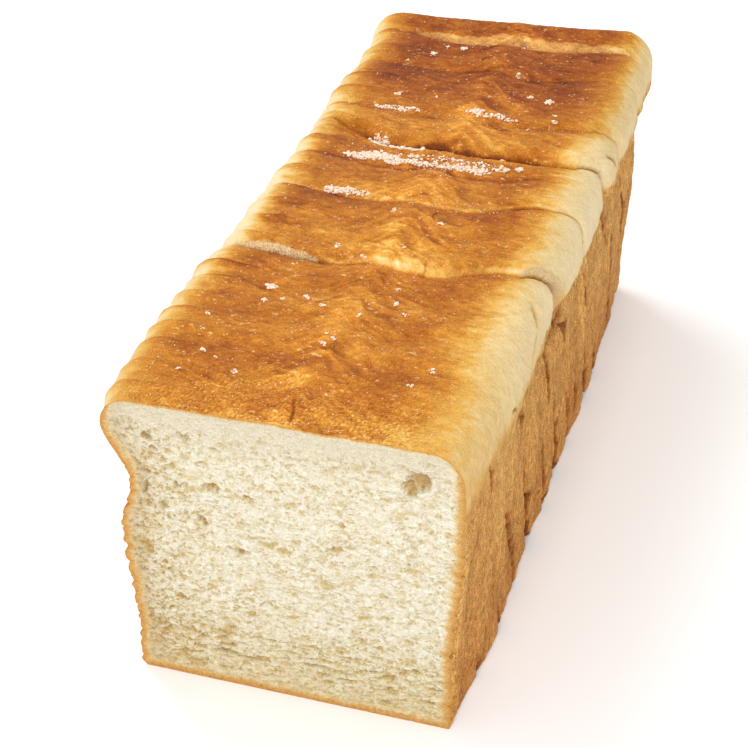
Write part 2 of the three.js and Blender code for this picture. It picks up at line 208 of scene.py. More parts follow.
# %% Walls
def right_inset(along, z):
    """How far the right side lies inside the block: the overhang of the cap, the waist below
    it, the taper to the back, the back corner, and the belly at the foot."""
    r = RIGHT
    rim = RIM_HEIGHT + r.rim_lift + r.rim_rise * ramp(along, r.rise_from, r.rise_to)
    straight = ramp(along, r.straight_from, r.straight_to)
    slope = 1 - ramp(z, r.slope_from, r.slope_to)
    wall = 1 - ramp(z, rim - 4, rim + 8)
    overhang = r.overhang * (slope + (wall - slope) * straight)
    waist = r.waist * straight * bell(z - (rim - r.waist_drop), r.waist_height)
    narrowing = ramp(along, r.taper_from, r.taper_to)
    corner = r.corner * bell(along - LENGTH, r.corner_length) * ramp(z, rim - 10, rim + 5)
    belly = r.belly * bell(along - r.belly_at, r.belly_length)
    belly = belly - r.cut_edge * bell(along, r.cut_edge_length)
    foot = (1 - ramp(z, 0, FOOT_HEIGHT)) * (r.foot_taper * narrowing - belly)
    return overhang + waist + r.taper * narrowing + corner + foot


def left_inset(along, z):
    """How far the left side lies inside the block: its overhang and deep waist, less the
    places where the cap bulges out."""
    s = LEFT
    overhang = s.overhang * (1 - ramp(z, s.overhang_from, s.overhang_to))
    waist = s.waist * bell(z - s.waist_at, s.waist_height)
    bulge = s.front_bulge - s.crease_step * ramp(along, s.step_from, s.step_to)
    bulge = bulge + s.back_bulge * ramp(along, s.back_from, s.back_to)
    corner = s.corner * bell(along - s.corner_at, s.corner_length)
    corner = corner * ramp(z, RIM_HEIGHT, RIM_HEIGHT + 20)
    cut_edge = s.cut_edge * bell(along, s.cut_edge_length)
    foot = (1 - ramp(z, 0, FOOT_HEIGHT)) * s.foot_taper * ramp(along, s.taper_from, s.taper_to)
    return overhang + waist + cut_edge + foot - bulge - corner


def back_inset(z):
    """How far the back wall lies inside the back of the cap: overhang, and a lean to the foot."""
    rim = RIM_HEIGHT + RIGHT.rim_lift + RIGHT.rim_rise
    overhang = BACK.overhang * (1 - ramp(z, rim - 8, rim + 8))
    return overhang + BACK.lean * (1 - ramp(z, -BACK.lean_top / 6, BACK.lean_top))


def fold_depth(along, z):
    """Slow folds of the walls: a wave along the loaf, swaying with height, in groups."""
    turn = 2 * math.pi
    wave = np.sin(turn * along / FOLD.spacing + FOLD.sway * np.sin(turn * z / FOLD.sway_height))
    group = np.sin(turn * (along / FOLD.group_length + z / FOLD.group_height))
    return FOLD.depth * wave * group * (1 - ramp(z, RIM_HEIGHT - 16, RIM_HEIGHT))


# %% The smooth skin
def smooth_skin(x, y, z):
    """Moves points of the plain block to the loaf. Edges are rounded by drawing each point to
    the radii about the core of the block; then the skin sinks in the creases, swells over the
    rolls, the sides are drawn in, and the rows bend."""
    x, y, z = np.broadcast_arrays(x, y, z)
    core = np.stack([np.clip(x, CAP_RADIUS - HALF, HALF - CAP_RADIUS),
                     np.minimum(y, LENGTH - BACK_RADIUS), np.minimum(z, HEIGHT - CAP_RADIUS)])
    radii = np.array([CAP_RADIUS, BACK_RADIUS, CAP_RADIUS]).reshape(3, *[1] * x.ndim)
    normal = (np.stack([x, y, z]) - core) / radii
    normal = normal / np.linalg.norm(normal, axis=0)
    place = core + normal * radii
    px, along, pz = place
    girth = px + np.sign(px) * (HEIGHT - pz)
    on_cap = ramp(pz, RIM_HEIGHT - 6, RIM_HEIGHT + 4)
    swell = SWELL * np.sin(math.pi * along / ROLL_LENGTH) ** 2 * ramp(LENGTH - along, 20, 45)
    swell = swell + BACK_LIP * bell(along - (LENGTH - BACK_RADIUS + 1), LIP_WIDTH)
    point = place - normal * (crease_depth(along, girth) - swell) * on_cap

    side = np.sign(px) * ramp(np.abs(px), CAP_WIDTH * 0.3, CAP_WIDTH * 0.46)
    inset = np.where(px > 0, right_inset(along, pz), left_inset(along, pz))
    foot = FOOT_ROUNDING * np.clip(1 - pz / FOOT_RISE, 0, 1) ** 2
    point[0] -= side * (inset + foot + fold_depth(along, pz))
    near_end = ramp(along, LENGTH - BACK.reach, LENGTH)
    point[1] += near_end * (BACK.skew * px / HALF - back_inset(pz) - foot)
    point[1] += row_bend(along, girth)
    tear = bell(point[1] - TEAR.along, TEAR.length) * bell(point[2] - TEAR.height, TEAR.rise)
    point[0] -= TEAR.depth * tear * ramp(point[0], CAP_WIDTH * 0.4, CAP_WIDTH * 0.46)
    return SimpleNamespace(point=point, normal=normal, along=along, girth=girth, tear=tear,
                           x=point[0].copy(), y=point[1].copy(), z=point[2].copy())


corner = smooth_skin(np.array([0.0]), np.array([LENGTH]), np.array([HEIGHT]))
print("top of the back edge:", corner.point.ravel().round(1), "mm")

# %% [markdown]
# ## Relief of the cap
# Up close a crease is not a soft valley but a slit: the skin of one roll of dough ends at a
# torn lip, and the next roll starts under it. Where the rolls pulled apart in the oven, a strip
# of bare crumb shows. The smooth form keeps the valleys; here each crease gets its slit, a lip
# behind it and its bare strips, along a line that wanders as a tear does.

# %% Slits, lips and bare strips
SLITS = np.array([  # crease, girth from, girth to, depth, width
    (105.5, -84, -22, 0.9, 0.8), (105.5, -24, 56, 0.3, 0.8), (105.5, 58, 82, 1.8, 1.0),
    (105.5, 80, 96, 2.8, 1.6), (152, -80, 40, 0.2, 0.9), (152, 44, 94, 0.9, 0.6),
    (180, -46, 40, 0.2, 1.2), (203, -60, -36, 0.5, 0.9), (203, -36, 34, 1.6, 1.2),
    (203, 30, 94, 2.3, 0.7), (227, -80, 44, 0.25, 0.8), (227, 50, 90, 0.4, 0.8),
    (272, -70, 80, 0.2, 0.8), (304, -44, 58, 0.3, 0.7),
])
# the last column of the strips is how much painted shade each one gets
STRIPS = np.array([  # crease, girth from, girth to, near edge, far edge, how bare, pale and dark
    (105.5, -61, -22, 0.3, 3.1, 0.75, 0.0, 0.0), (105.5, 55, 88, 1.0, 4.8, 0.9, 0.0, 0.2),
    (304, -46, 60, 0.0, 7.0, 0.16, 0.26, 0.0), (203, -34, 46, -0.6, 2.3, 0.0, 0.0, 1.0),
    (152, -60, 60, 0.8, 2.2, 0.05, 0.16, 0.0), (105.5, -26, 60, 0.8, 3.4, 0.05, 0.15, 0.0),
    (227, -50, 46, -1.6, 0.2, 0.0, 0.18, 0.0), (180, -44, 38, -5.0, -1.5, 0.0, 0.08, 0.0),
    (272, -40, 50, 0.8, 2.4, 0.0, 0.08, 0.0), (203, 36, 92, -2.2, -0.8, 0.0, 0.14, 0.0),
])


def wander(skin, at):
    """How far a crease's line strays from its smooth course: slow noise and fast noise."""
    slow = noise(skin.girth / 11, 0.37 * at, 0.0, 11)
    return 0.9 * slow + 0.35 * noise(skin.girth / 2.6, 0.61 * at, 0.0, 12)


def crease_relief(skin):
    """Height: minus depth times a bell across each slit, plus 0.3 of it for the lip just
    behind. A strip is a lens between two girths, wide in the middle, with ragged edges. Returns
    the height, how bare and how pale the skin is, and how dark its gaps are, which is painted
    shade in the slits and along the dark strips."""
    height, bare, pale, gap = (np.zeros(skin.x.shape) for _ in range(4))
    for at, start, stop, depth, width in SLITS:
        distance = skin.along - at - wander(skin, at)
        reach = window(skin.girth, start, stop, 6)
        lip = 0.3 * bell(distance - 2.6 * width, 2 * width)
        height -= depth * reach * (bell(distance, width) - lip)
        # painted shade in the slit, darker for a deeper slit
        gap = np.maximum(gap, reach * bell(distance, 0.9 * width) * min(1.0, depth / 1.2))
    for at, start, stop, near, far, bareness, paleness, darkness in STRIPS:
        distance = skin.along - at - wander(skin, at)
        place = np.clip((skin.girth - start) / (stop - start), 0, 1)
        lens = (4 * place * (1 - place)) ** 0.45
        wide = (far - near) * lens * (1 + 0.35 * noise(skin.girth / 7, 0.2 * at, 0.0, 13))
        ragged = near + wide + 0.7 * noise(skin.girth / 1.8, 0.2 * at, 0.0, 14)
        strip = ramp(distance, near - 0.4, near + 0.5) * ramp(ragged - distance, -0.5, 0.9)
        strip = strip * ramp(wide, 0.2, 1)
        uneven = 0.8 + 0.4 * noise(skin.girth / 4, skin.y / 2, 0.0, 16)
        bare = np.maximum(bare, bareness * strip)
        pale = np.maximum(pale, paleness * strip * uneven)
        # painted shade along the strip
        gap = np.maximum(gap, darkness * strip)
    height += bare * 0.4 * noise(skin.x / 1.6, skin.y / 1.2, skin.z / 1.6, 15)
    return height, bare, pale, gap


# %% [markdown]
# A few tears don't follow a crease: short cracks that run along the loaf where the crust shrank,
# and a curved fold on the right shoulder, beside the deep crease. Each is a line through a few
# points, and the skin falls in a narrow bell on both sides of it.

# %% Cracks
CRACKS = [  # the measure the line runs along, its points, the other measure there, depth, width
    ("y", (1, 7, 13, 18), ("x", (4.8, 4.4, 2.4, 1.4)), (-60, 60), 0.8, 0.4),
    ("y", (139, 144, 150), ("x", (14.6, 12.2, 13.4)), (-60, 60), 0.6, 0.5),
    ("y", (105, 108, 112), ("x", (19.0, 19.6, 18.8)), (-60, 60), 0.4, 0.5),
    ("z", (102, 108.5, 112.6, 117, 119, 122), ("y", (86, 92.5, 96.2, 98.3, 98.9, 99.2)),
     (48, 90), 1.9, 1.6),
    ("y", (56, 61, 66), ("z", (103.5, 102.0, 98.0)), (55, 90), 1.3, 0.7),
    ("x", (-56, -44, -30), ("y", (126.5, 124.0, 125.5)), (-70, 0), 0.4, 0.7),
    ("x", (-56, -46, -36), ("y", (140.5, 138.5, 139.5)), (-70, 0), 0.4, 0.7),
    ("z", (104, 107, 116, 120), ("y", (239, 235.7, 225.6, 221)), (48, 90), 1.8, 0.8),
]


def crack_relief(skin):
    """Minus depth times a bell across each crack, which thins out over the first and the last
    quarter of its length. Also how dark each crack is, as painted shade: the wider a crack is for
    its depth, the less dark."""
    height, gap = np.zeros(skin.x.shape), np.zeros(skin.x.shape)
    for runs_along, stops, (other, places), (low, high), depth, width in CRACKS:
        run = getattr(skin, runs_along)
        line = np.interp(run, stops, places) + 0.4 * noise(run / 2.2, depth, width, 17)
        fade = (stops[-1] - stops[0]) / 4
        reach = window(run, stops[0] + fade, stops[-1] - fade, fade) * window(skin.x, low, high, 1)
        cut = reach * bell(getattr(skin, other) - line, width)
        # painted shade in the crack: a deep, narrow one is darker
        darkness = 0.8 * min(1.0, 0.7 * depth / width)
        height, gap = height - depth * cut, np.maximum(gap, darkness * cut)
    return height, gap


# %% [markdown]
# Between the creases the crust is wrinkled across, like the skin on hot milk, because it
# stretched along the loaf while it dried. Noise that is drawn out across the loaf gives those
# wrinkles. In the middle of the top, where each roll's two sides pull on the skin, they turn
# into a herringbone, and on the left shoulder they swell into ripples a centimetre apart.

# %% Wrinkles of the cap
LOBE_ENDS = np.array([
    0, 12, 24, 38, 49, 60, 70, 81, 91, 103, 114, 126, 140, 153, 166, 180, 195, 211, 227, 242, 257,
    272, 288, 304, LENGTH])


def pleats(u, v, seed):
    """Sharp little folds: 1 on a crest and falling to -1, from 1 minus twice the size of
    noise, so that crests lie where the noise crosses 0."""
    return 1 - 2.6 * np.abs(noise(u, v, 0.0, seed))


def lobes(skin):
    """Each lobe rises to its back end and breaks off there: t squared, where t runs from 0 to 1
    along it, cut off over the last tenth. They are strong on the left shoulder, weaker towards
    the middle, and faint on the right."""
    sway = 1.6 * noise(skin.y / 16, skin.girth / 18, 0.0, 21)
    number = np.interp(skin.along + sway, LOBE_ENDS, np.arange(len(LOBE_ENDS)))
    t = number - np.floor(number)
    share = 0.4 * ramp(-skin.girth, 4, 30) + 0.6 * ramp(-skin.girth, 30, 54)
    share = share + 0.25 * ramp(skin.girth, 42, 62)
    share = share * (0.7 + 0.7 * noise(number.round() * 3.7, skin.girth / 25, 0.0, 19))
    return share * t**2 * ramp(1 - t, 0, 0.10)


def cap_relief(skin):
    """Sum of the lobes, folds and a herringbone that meet at an angle down the middle, pleats
    that slant one way or the other, blisters, and grit near the cut. Returns the height, the
    part of it that is painted as light on the crests and as shade in the hollows, and the
    lobes."""
    x, y, z, girth, along = skin.x, skin.y, skin.z, skin.girth, skin.along
    top = 1 - ramp(np.abs(girth), 38, 58)
    lobe = lobes(skin)
    chevron = along + 0.75 * np.abs(girth - 4) + 2.6 * noise(x / 12, y / 12, 0.0, 26)
    patchy = ramp(noise(x / 24, y / 20, 0.0, 30), -0.45, 0.2)
    folds = bell(girth - 4, 26) * patchy * pleats(chevron / 8.5, girth / 30, 22)
    herringbone = bell(girth - 6, 22) * pleats(chevron / 3.4, girth / 13, 20)
    slanted = pleats((along + 0.30 * girth) / 3.0, girth / 13, 23)
    slanted = slanted * ramp(noise(x / 18, y / 14, z / 18, 27), -0.35, 0.35)
    swept = ramp(girth, 42, 54) * noise((along - 0.5 * girth) / 1.8, girth / 14, 0.0, 18)
    long = noise(girth / 24, along / 5.5, 0.0, 28)
    short = noise(girth / 5, along / 1.7, 0.0, 24) * (0.35 + 0.65 * top)
    blister = noise(x / 2.6, y / 2.2, z / 2.6, 25) + 0.8 * noise(x / 1.2, y / 1.1, z / 1.2, 29)
    blister = blister * (0.4 + 0.6 * top)
    grit = bell(y, 32) * top * noise(x / 0.9, y / 0.9, 0.0, 17)
    crests = 0.50 * folds + 0.26 * herringbone + (0.03 + 0.24 * top) * slanted
    crests = crests + 0.16 * short + 0.16 * swept
    height = 1.8 * lobe + (0.18 + 0.25 * top) * long + crests + 0.12 * blister + 0.3 * grit
    return height, crests + 0.1 * long + 0.2 * blister + 0.9 * grit, lobe


# %% [markdown]
# ## Relief of the walls
# The walls dried against the tin. The dough stuck and let go in folds from rim to foot, so the
# walls have upright grooves, some of them torn open, and the skin between two grooves swells
# towards the next one like a shingle. The grooves that give this loaf its look are listed one
# by one on the right; the left side and the back, which were in the same tin, get grooves of
# the same kind from a seeded draw.

# %% Grooves
RIGHT_GROOVES = [  # place along, top, bottom, depth, width, lean to the back per mm of height
    (31.5, 99, 83, 2.2, 1.2, -0.42), (89, 88, 68, 2.8, 1.5, -0.5),
    (133.5, 78, 50, 2.6, 1.4, -0.15), (160, 76, 55, 3.6, 2.0, -0.45),
    (199.5, 73, 38, 3.2, 1.8, -0.12), (240, 86, 60, 3.2, 2.4, -0.7), (72, 48, 12, 2.4, 1.8, -0.4),
    (101.5, 49, 0, 3.6, 2.4, -0.05), (128.5, 35, 0, 2.8, 2.0, 0.0),
    (149.3, 46, 0, 4.0, 2.2, -0.04), (174.5, 30, 0, 3.2, 2.0, -0.07), (187, 30, 9, 2.0, 1.4, 0.0),
    (207.5, 29, 0, 3.4, 2.2, -0.2), (228, 16, 0, 2.6, 1.8, 0.0), (262, 60, 4, 2.6, 1.6, -0.1),
    (285, 82, 30, 2.4, 1.6, -0.3), (78, 14, 0, 2.8, 1.8, -0.1), (53, 12, 0, 2.0, 1.5, 0.0),
    (16, 72, 63, 1.2, 0.9, 0.8), (48, 40, 16, 0.8, 0.9, 0.1), (27, 12, 0, 1.6, 1.3, 0.0),
]


def drawn_grooves(count, length, seed):
    """Grooves like those above, at random places but always the same ones."""
    draw = np.random.default_rng(seed)
    places = (np.arange(count) + draw.uniform(0.15, 0.85, count)) * length / count
    tops, spans = draw.uniform(30, 84, count), draw.uniform(14, 40, count)
    depths = draw.uniform(0.8, 2.4, count)
    rest = draw.uniform(0.5, 1.3, count), draw.uniform(-0.2, 0.25, count)
    return list(zip(places, tops, np.maximum(tops - spans, 0), depths, *rest))


LEFT_GROOVES = drawn_grooves(18, LENGTH, 31)
BACK_GROOVES = drawn_grooves(8, CAP_WIDTH, 32)


def groove_relief(place, z, grooves, seed):
    """Across each groove's leaning, wandering line the skin swells, drops sharply on the side
    towards the cut, and after three widths is back at the wall's level. A groove thins out to
    its ends as a power of 1 minus the squared distance from its middle. Also how far in a
    groove each point lies, which the colour takes as painted shade. It fades out further up the
    back slope than the drop does."""
    height, hollow = np.zeros(z.shape), np.zeros(z.shape)
    ragged = 0.8 * noise(place / 2.2, z / 2.6, 0.0, seed)
    ragged = ragged + 0.5 * noise(place / 0.9, z / 1.3, 3.5, seed)
    for number, (at, top, bottom, depth, width, lean) in enumerate(grooves):
        middle, half = ((top + bottom) / 2, (top - bottom) / 2 + 4) if bottom > 0 else (0, top + 4)
        slender = np.clip(1 - ((z - middle) / half) ** 2, 0, 1) ** 0.7
        row = number + 0.5  # each groove reads its own row of the noise
        wandering = 1.2 * noise(z / 12, row, 0.0, seed) + 0.6 * noise(z / 3.2, row, 1.5, seed)
        distance = place - at - lean * (z - (top + bottom) / 2) - wandering + ragged
        wide = width * slender * np.maximum(1 + 1.1 * noise(z / 4.5, row, 4.5, seed), 0.15)
        torn = slender * (0.9 + 0.9 * noise(z / 3.6, row, 2.5, seed))
        swell = 0.12 * slender * bell(np.minimum(distance + 0.5, 0), 9) * ramp(-distance, -0.4, 0.6)
        entered = ramp(distance, -0.7, 0.6)
        across = entered * (1 - ramp(distance, 1.1 * wide, 3.0 * wide + 0.2))
        shade = entered * (1 - ramp(distance, 1.5 * wide, 4.6 * wide + 0.2))
        height += depth * (swell - 0.95 * torn * across)
        # painted shade in the groove
        hollow = np.maximum(hollow, torn * shade * min(1.0, depth / 2.5))
    return height, np.clip(hollow, 0, 1)


# %% Folds, flakes and striations of the walls
def wall_relief(skin):
    """Grooves, slow folds, pits and rubbed flakes, with fine striations up the wall; more pits
    beside the cut, where the knife tore the skin, and a hollow under the torn rim on the right,
    with painted shadow on the wall below it. The left wall is rippled too. Returns the height,
    how deep in a groove or pit each point lies, which is painted as shade there, in the
    ripples' troughs and under the rim, and the relief that is painted as light on raised parts
    and as shade in the hollows."""
    x, y, z = skin.x, skin.y, skin.z
    height, hollow = np.zeros(x.shape), np.zeros(x.shape)
    right, left, end = (
        ramp(side, 0.5, 0.9) for side in (skin.normal[0], -skin.normal[0], skin.normal[1]))
    for share, place, grooves, seed in (
            (right, y, RIGHT_GROOVES, 33), (left, y, LEFT_GROOVES, 34),
            (end, x + HALF, BACK_GROOVES, 35)):
        if share.max() > 0:
            some_height, some_hollow = groove_relief(place, z, grooves, seed)
            height, hollow = height + share * some_height, hollow + share * some_hollow
    sway = 3.0 * noise(x / 30, y / 30, z / 30, 36)
    fold = noise((x + sway) / 13, (y + sway) / 13, z / 48, 37)
    streak = noise((x + sway) / 4.5, (y + sway) / 4.5, z / 11, 38)
    flake = noise(x / 4, y / 4, z / 7, 39)
    speckle = noise(x / 2.2, y / 2.2, z / 2.2, 46)
    fine = noise(x / 1.3, y / 1.3, z / 3, 40)
    pit = ramp(noise(x / 2.4, y / 2.4, z / 3.4, 41), 0.38, 0.75) * ramp(flake, -0.1, 0.4)
    at_cut = bell(y, 6)
    curled = at_cut * noise(x / 3, y / 3, z / 2.2, 45)
    pit = pit * (1 + at_cut) + 0.8 * at_cut * ramp(-curled, 0.12, 0.45)
    height += (1.1 * fold + 0.3 * streak + 0.25 * flake + 0.25 * speckle + 0.16 * fine - 0.7 * pit
               + (0.4 + 0.3 * ramp(x, 0, 9)) * curled)
    rippled = left * (0.3 + 0.7 * bell(y, 40)) * (0.75 + 1.1 * noise(y / 10, z / 9, 0.0, 43))
    phase = z / 7.2 + 1.0 * noise(y / 14, z / 13, 0.0, 42) + 0.15 * noise(y / 5, z / 4, 0.0, 44)
    ripple = 0.6 * np.abs(np.sin(math.pi * phase))
    ripple = ripple + np.minimum(1.2 * np.abs(noise(y / 15, z / 6.5, 0.0, 42)), 0.5)
    height += rippled * 1.5 * (ripple - 0.6)
    # painted shade in the pits and in the troughs of the ripples
    hollow = np.maximum(hollow, np.maximum(0.6 * pit, rippled * 0.4 * bell(ripple, 0.35)))
    # painted shadow under the overhanging rim on the right, over a dent in the skin
    shelter = right * window(y, 142, 158, 9) * (0.85 + 0.6 * noise(y / 5, z / 3, 0.0, 47))
    under_rim = bell(z - 79.5, 3.2)
    rim_shadow = shelter * np.maximum(under_rim, 0.4 * window(z, 80, 92, 4))
    height, hollow = height - 1.4 * shelter * under_rim, np.maximum(hollow, 0.85 * rim_shadow)
    # lighter where the relief is raised and darker in its hollows: painted light and shade
    wall_relief_shading = 0.4 * fold + 0.3 * streak + 0.35 * flake + 0.5 * speckle + 0.6 * fine
    return height, hollow, wall_relief_shading - 0.6 * hollow


# %% [markdown]
# ## How brown the crust is
# Crust browns where it is hot and dry: most on the flat of the top, less in the shelter of a
# crease, least on the shoulders, which the dough's own steam kept pale. The walls took an even
# tan from the tin. Browning is a number from 0, cream, to 1, dark brown, kept on each vertex,
# and the material turns it into colour. Painting it by hand would need an image; knots that are
# joined by straight lines say the same in a few rows. The number also carries painted shade,
# higher in gaps, grooves and pits, and painted light, lower on raised relief.

# %% Browning
BROWN_ROUND = np.array([  # girth, browning
    (-104, 0.42), (-92, 0.34), (-84, 0.16), (-76, 0.10), (-68, 0.14), (-62, 0.24), (-56, 0.38),
    (-50, 0.50), (-44, 0.57), (0, 0.54), (30, 0.58), (37, 0.55), (43, 0.44), (49, 0.31),
    (55, 0.19), (62, 0.11), (72, 0.07), (86, 0.08), (92, 0.18), (104, 0.42),
]).T
BROWN_REACH = np.array([  # place along, how much further right the brown of the top reaches
    (0, -1), (95, 0), (100, 0), (112, 7), (135, 6), (160, 4), (190, 4), (206, 3), (236, 9),
    (246, 6), (331, 6),
]).T
BROWN_LEFT = np.array([  # place along, change of browning on the left shoulder
    (0, 0.0), (36, 0.0), (50, -0.08), (78, -0.16), (112, -0.26), (160, -0.26), (188, -0.18),
    (208, -0.12), (230, -0.20), (245, -0.10), (331, -0.06),
]).T
BROWN_RIGHT = np.array([  # place along, change of browning on the right shoulder
    (0, 0.12), (40, 0.07), (66, 0.0), (104, 0.0), (110, -0.06), (125, -0.02), (190, -0.06),
    (215, -0.04), (235, 0.02), (285, 0.02), (331, 0.0),
]).T
BROWN_ALONG = np.array([  # place along, change of browning on the top
    (0, -0.10), (8, -0.07), (16, 0.0), (26, 0.01), (37, 0.11), (42, 0.01), (52, -0.01),
    (59, 0.03), (64, 0.02), (76, -0.03), (81, 0.02), (90, 0.03), (103, 0.06), (107.5, -0.10),
    (115, -0.08), (124, -0.02), (142, 0.06), (151, 0.13), (154, -0.06), (163, -0.03), (174, 0.08),
    (180, 0.13), (184, 0.0), (188, 0.02), (192, 0.06), (196, 0.0), (202, 0.06), (205, 0.0),
    (208, -0.08), (220, -0.04), (226, 0.10), (230, 0.0), (238, 0.06), (248, 0.17), (264, 0.24),
    (271, 0.28), (275, 0.15), (284, 0.24), (303, 0.29), (308, 0.03), (314, 0.20), (331, 0.12),
]).T
BROWN_SPOTS = [  # girth, place along, reach round, reach along, change of browning
    (-46, 8, 11, 8, -0.12), (0, 8, 16, 8, 0.09), (37, 8, 9, 8, -0.15), (2, 169, 14, 11, 0.09),
    (-50, 163, 6, 12, -0.08), (-50, 210, 6, 14, -0.11), (-50, 239, 6, 12, -0.12),
    (-50, 287, 6, 14, -0.10), (-8, 210, 12, 8, 0.09), (8, 239, 9, 7, 0.20),
    (54, 266, 6, 9, -0.10), (0, 308, 16, 5, 0.12), (8, 317, 9, 4, 0.10), (46, 116, 6, 8, 0.06),
]
RIM_LINE = np.array([  # place along, height at which the cap turns into the wall
    (0, 99), (30, 98), (62, 97.5), (85, 99), (100, 100), (112, 102.5), (128, 97), (138, 91),
    (165, 92), (195, 98), (230, 101), (245, 101), (260, 104), (331, 105),
]).T


def wall_share(skin):
    """1 on the walls and 0 on the cap, with a ragged edge at the height of the rim."""
    rim = np.interp(skin.y, *RIM_LINE) + 2.0 * noise(skin.x / 7, skin.y / 7, 0.0, 51)
    soft = np.interp(skin.y, (0, 40, 90), (6.0, 5.0, 2.6))
    return 1 - ramp((skin.z - rim) / soft, -1, 1)


def browning(skin, wall, pale, gap, crests, lobe, wall_relief_shading, hollow):
    """Round the cap and along it from the tables, with patches of noise, crests paler as painted
    light and gaps darker as painted shade; on the walls by height, darker to the foot, darker in
    the grooves and pits as painted shade, and paler on raised relief as painted light."""
    x, y, z = skin.x, skin.y, skin.z
    girth = skin.girth + 2.5 * noise(x / 6, y / 2.4, z / 6, 52)
    girth = girth - np.interp(y, *BROWN_REACH) * ramp(girth, 15, 38)
    on_top = 1 - ramp(np.abs(girth), 44, 64)
    cap = np.interp(girth, *BROWN_ROUND)
    cap = cap + np.interp(y, *BROWN_LEFT) * ramp(-girth, 46, 60)
    cap = cap + np.interp(y, *BROWN_RIGHT) * ramp(girth, 40, 54)
    place = skin.along + 1.6 * noise(girth / 7, y / 5, 0.0, 53)
    cap = cap + on_top * np.interp(place, *BROWN_ALONG)
    for middle, at, reach, length, change in BROWN_SPOTS:
        cap = cap + change * bell(skin.girth - middle, reach) * bell(skin.along - at, length)
    patches = 0.10 * noise(x / 13, y / 8, z / 13, 54) + 0.07 * noise(x / 5, y / 2.6, z / 5, 55)
    # paler crests and darker hollows: painted light and shade
    cap = cap + (0.25 + 0.75 * on_top) * (patches - 0.24 * crests)
    # darker in the gaps: painted shade
    cap = cap + 0.42 * lobe**2 + 0.2 * gap - pale
    low = 0.35 - 0.04 * ramp(y, 20, 60) + 0.12 * (1 - ramp(z, 0, 60)) - 0.05 * ramp(z, 60, 90)
    low = low - 0.18 * bell(y, 4) * ramp(x, 0, 20)
    # darker in grooves, pits and under the rim as painted shade, paler on raised relief as painted
    # light
    low = low + 0.34 * hollow + 0.5 * patches - 0.16 * wall_relief_shading
    return np.clip(cap + (low - cap) * wall, 0, 1)


# %% The whole skin
def baked_skin(x, y, z):
    """The smooth skin with all relief along its normal, and the numbers its material reads."""
    skin = smooth_skin(x, y, z)
    wall = wall_share(skin)
    cap = 1 - wall
    slit, bare, pale, gap = crease_relief(skin)
    crack, crack_shade = crack_relief(skin)
    wrinkled, crests, lobe = cap_relief(skin)
    upright, hollow, wall_relief_shading = wall_relief(skin) if wall.max() > 0 else (0.0, 0.0, 0.0)
    gap = np.maximum(gap, crack_shade)
    torn = np.clip(1.6 * skin.tear, 0, 1) * ramp(skin.x, 50, 60) * ramp(skin.z, 84, 90)
    # browner in the tear's hollow: painted shade
    pale = pale - 0.22 * torn
    ragged = torn * 0.8 * noise(skin.x / 2, skin.y / 1.8, skin.z / 2, 61)
    height = cap * (slit + crack + wrinkled) + wall * upright + ragged
    skin.point = skin.point + skin.normal * height
    skin.point[2] = np.maximum(skin.point[2], 0)
    # gap: painted shade in slits, cracks, dark strips, grooves and pits; the relief mark: painted
    # light on raised relief and painted shade in hollows
    skin.marks = {
        "brown": browning(skin, wall, pale, gap, crests, lobe, wall_relief_shading, hollow), "wall": wall,
        "bare": np.maximum(bare * cap, 0.4 * torn),
        "gap": np.maximum(gap * cap, 0.55 * hollow * wall),
        "relief_shading": cap * crests + wall * 0.5 * wall_relief_shading}
    return skin


# %% [markdown]
# ## Patches
# The skin is cut into patches: the top and the two sides, each in a front and a back half, and
# the far end. Each is a grid on one face of the block, so a patch is a function of two
# parameters. Neighbours share their edge points exactly. Rows are closer together at the
# creases, where the surface turns fastest. A patch is closed into a solid slab of crust by a
# coarse inner sheet, so that every piece is a thing with a thickness.

# %% Rows, columns and levels
COARSE = 10                 # one step of the inner sheet spans this many of the skin's
SKETCH = 1
COLUMNS = LEVELS = HALF_ROWS = 300 // SKETCH
CRUST_THICKNESS = 6.0       # more than a groove falls between two points of the inner sheet


def crowded(count, start, stop, centres, width, extra):
    """`count` steps from start to stop, shorter near the centres: the running sum of a density
    is divided evenly."""
    fine = np.linspace(start, stop, 8001)
    density = 1 + extra * np.clip(sum(bell(fine - c, width) for c in centres), 0, 1)
    total = np.concatenate([[0], np.cumsum((density[1:] + density[:-1]) / 2)])
    return np.interp(np.linspace(0, total[-1], count + 1), total, fine)


columns = np.linspace(-HALF, HALF, COLUMNS + 1)
levels = np.linspace(0, HEIGHT, LEVELS + 1)
deep_creases = CREASES["at"][CREASES["depth"] > 1.2]
rows = crowded(2 * HALF_ROWS, 0, LENGTH, deep_creases + 1, 5, 1.1)
print(f"rows are {np.diff(rows).min():.2f} to {np.diff(rows).max():.2f} mm apart")


# %% A closed piece from a grid
def grid_faces(rows_count, columns_count, first=0):
    """Corner numbers of the quads of a grid, all turned the same way."""
    number = first + np.arange(rows_count * columns_count).reshape(rows_count, columns_count)
    corners = number[:-1, :-1], number[1:, :-1], number[1:, 1:], number[:-1, 1:]
    return np.stack(corners, -1).reshape(-1, 4)


def border(rows_count, columns_count):
    """Numbers of a grid's border points, once round from the first point and back to it."""
    number = np.arange(rows_count * columns_count).reshape(rows_count, columns_count)
    return np.concatenate([number[0, :-1], number[:-1, -1], number[-1, :0:-1], number[::-1, 0]])


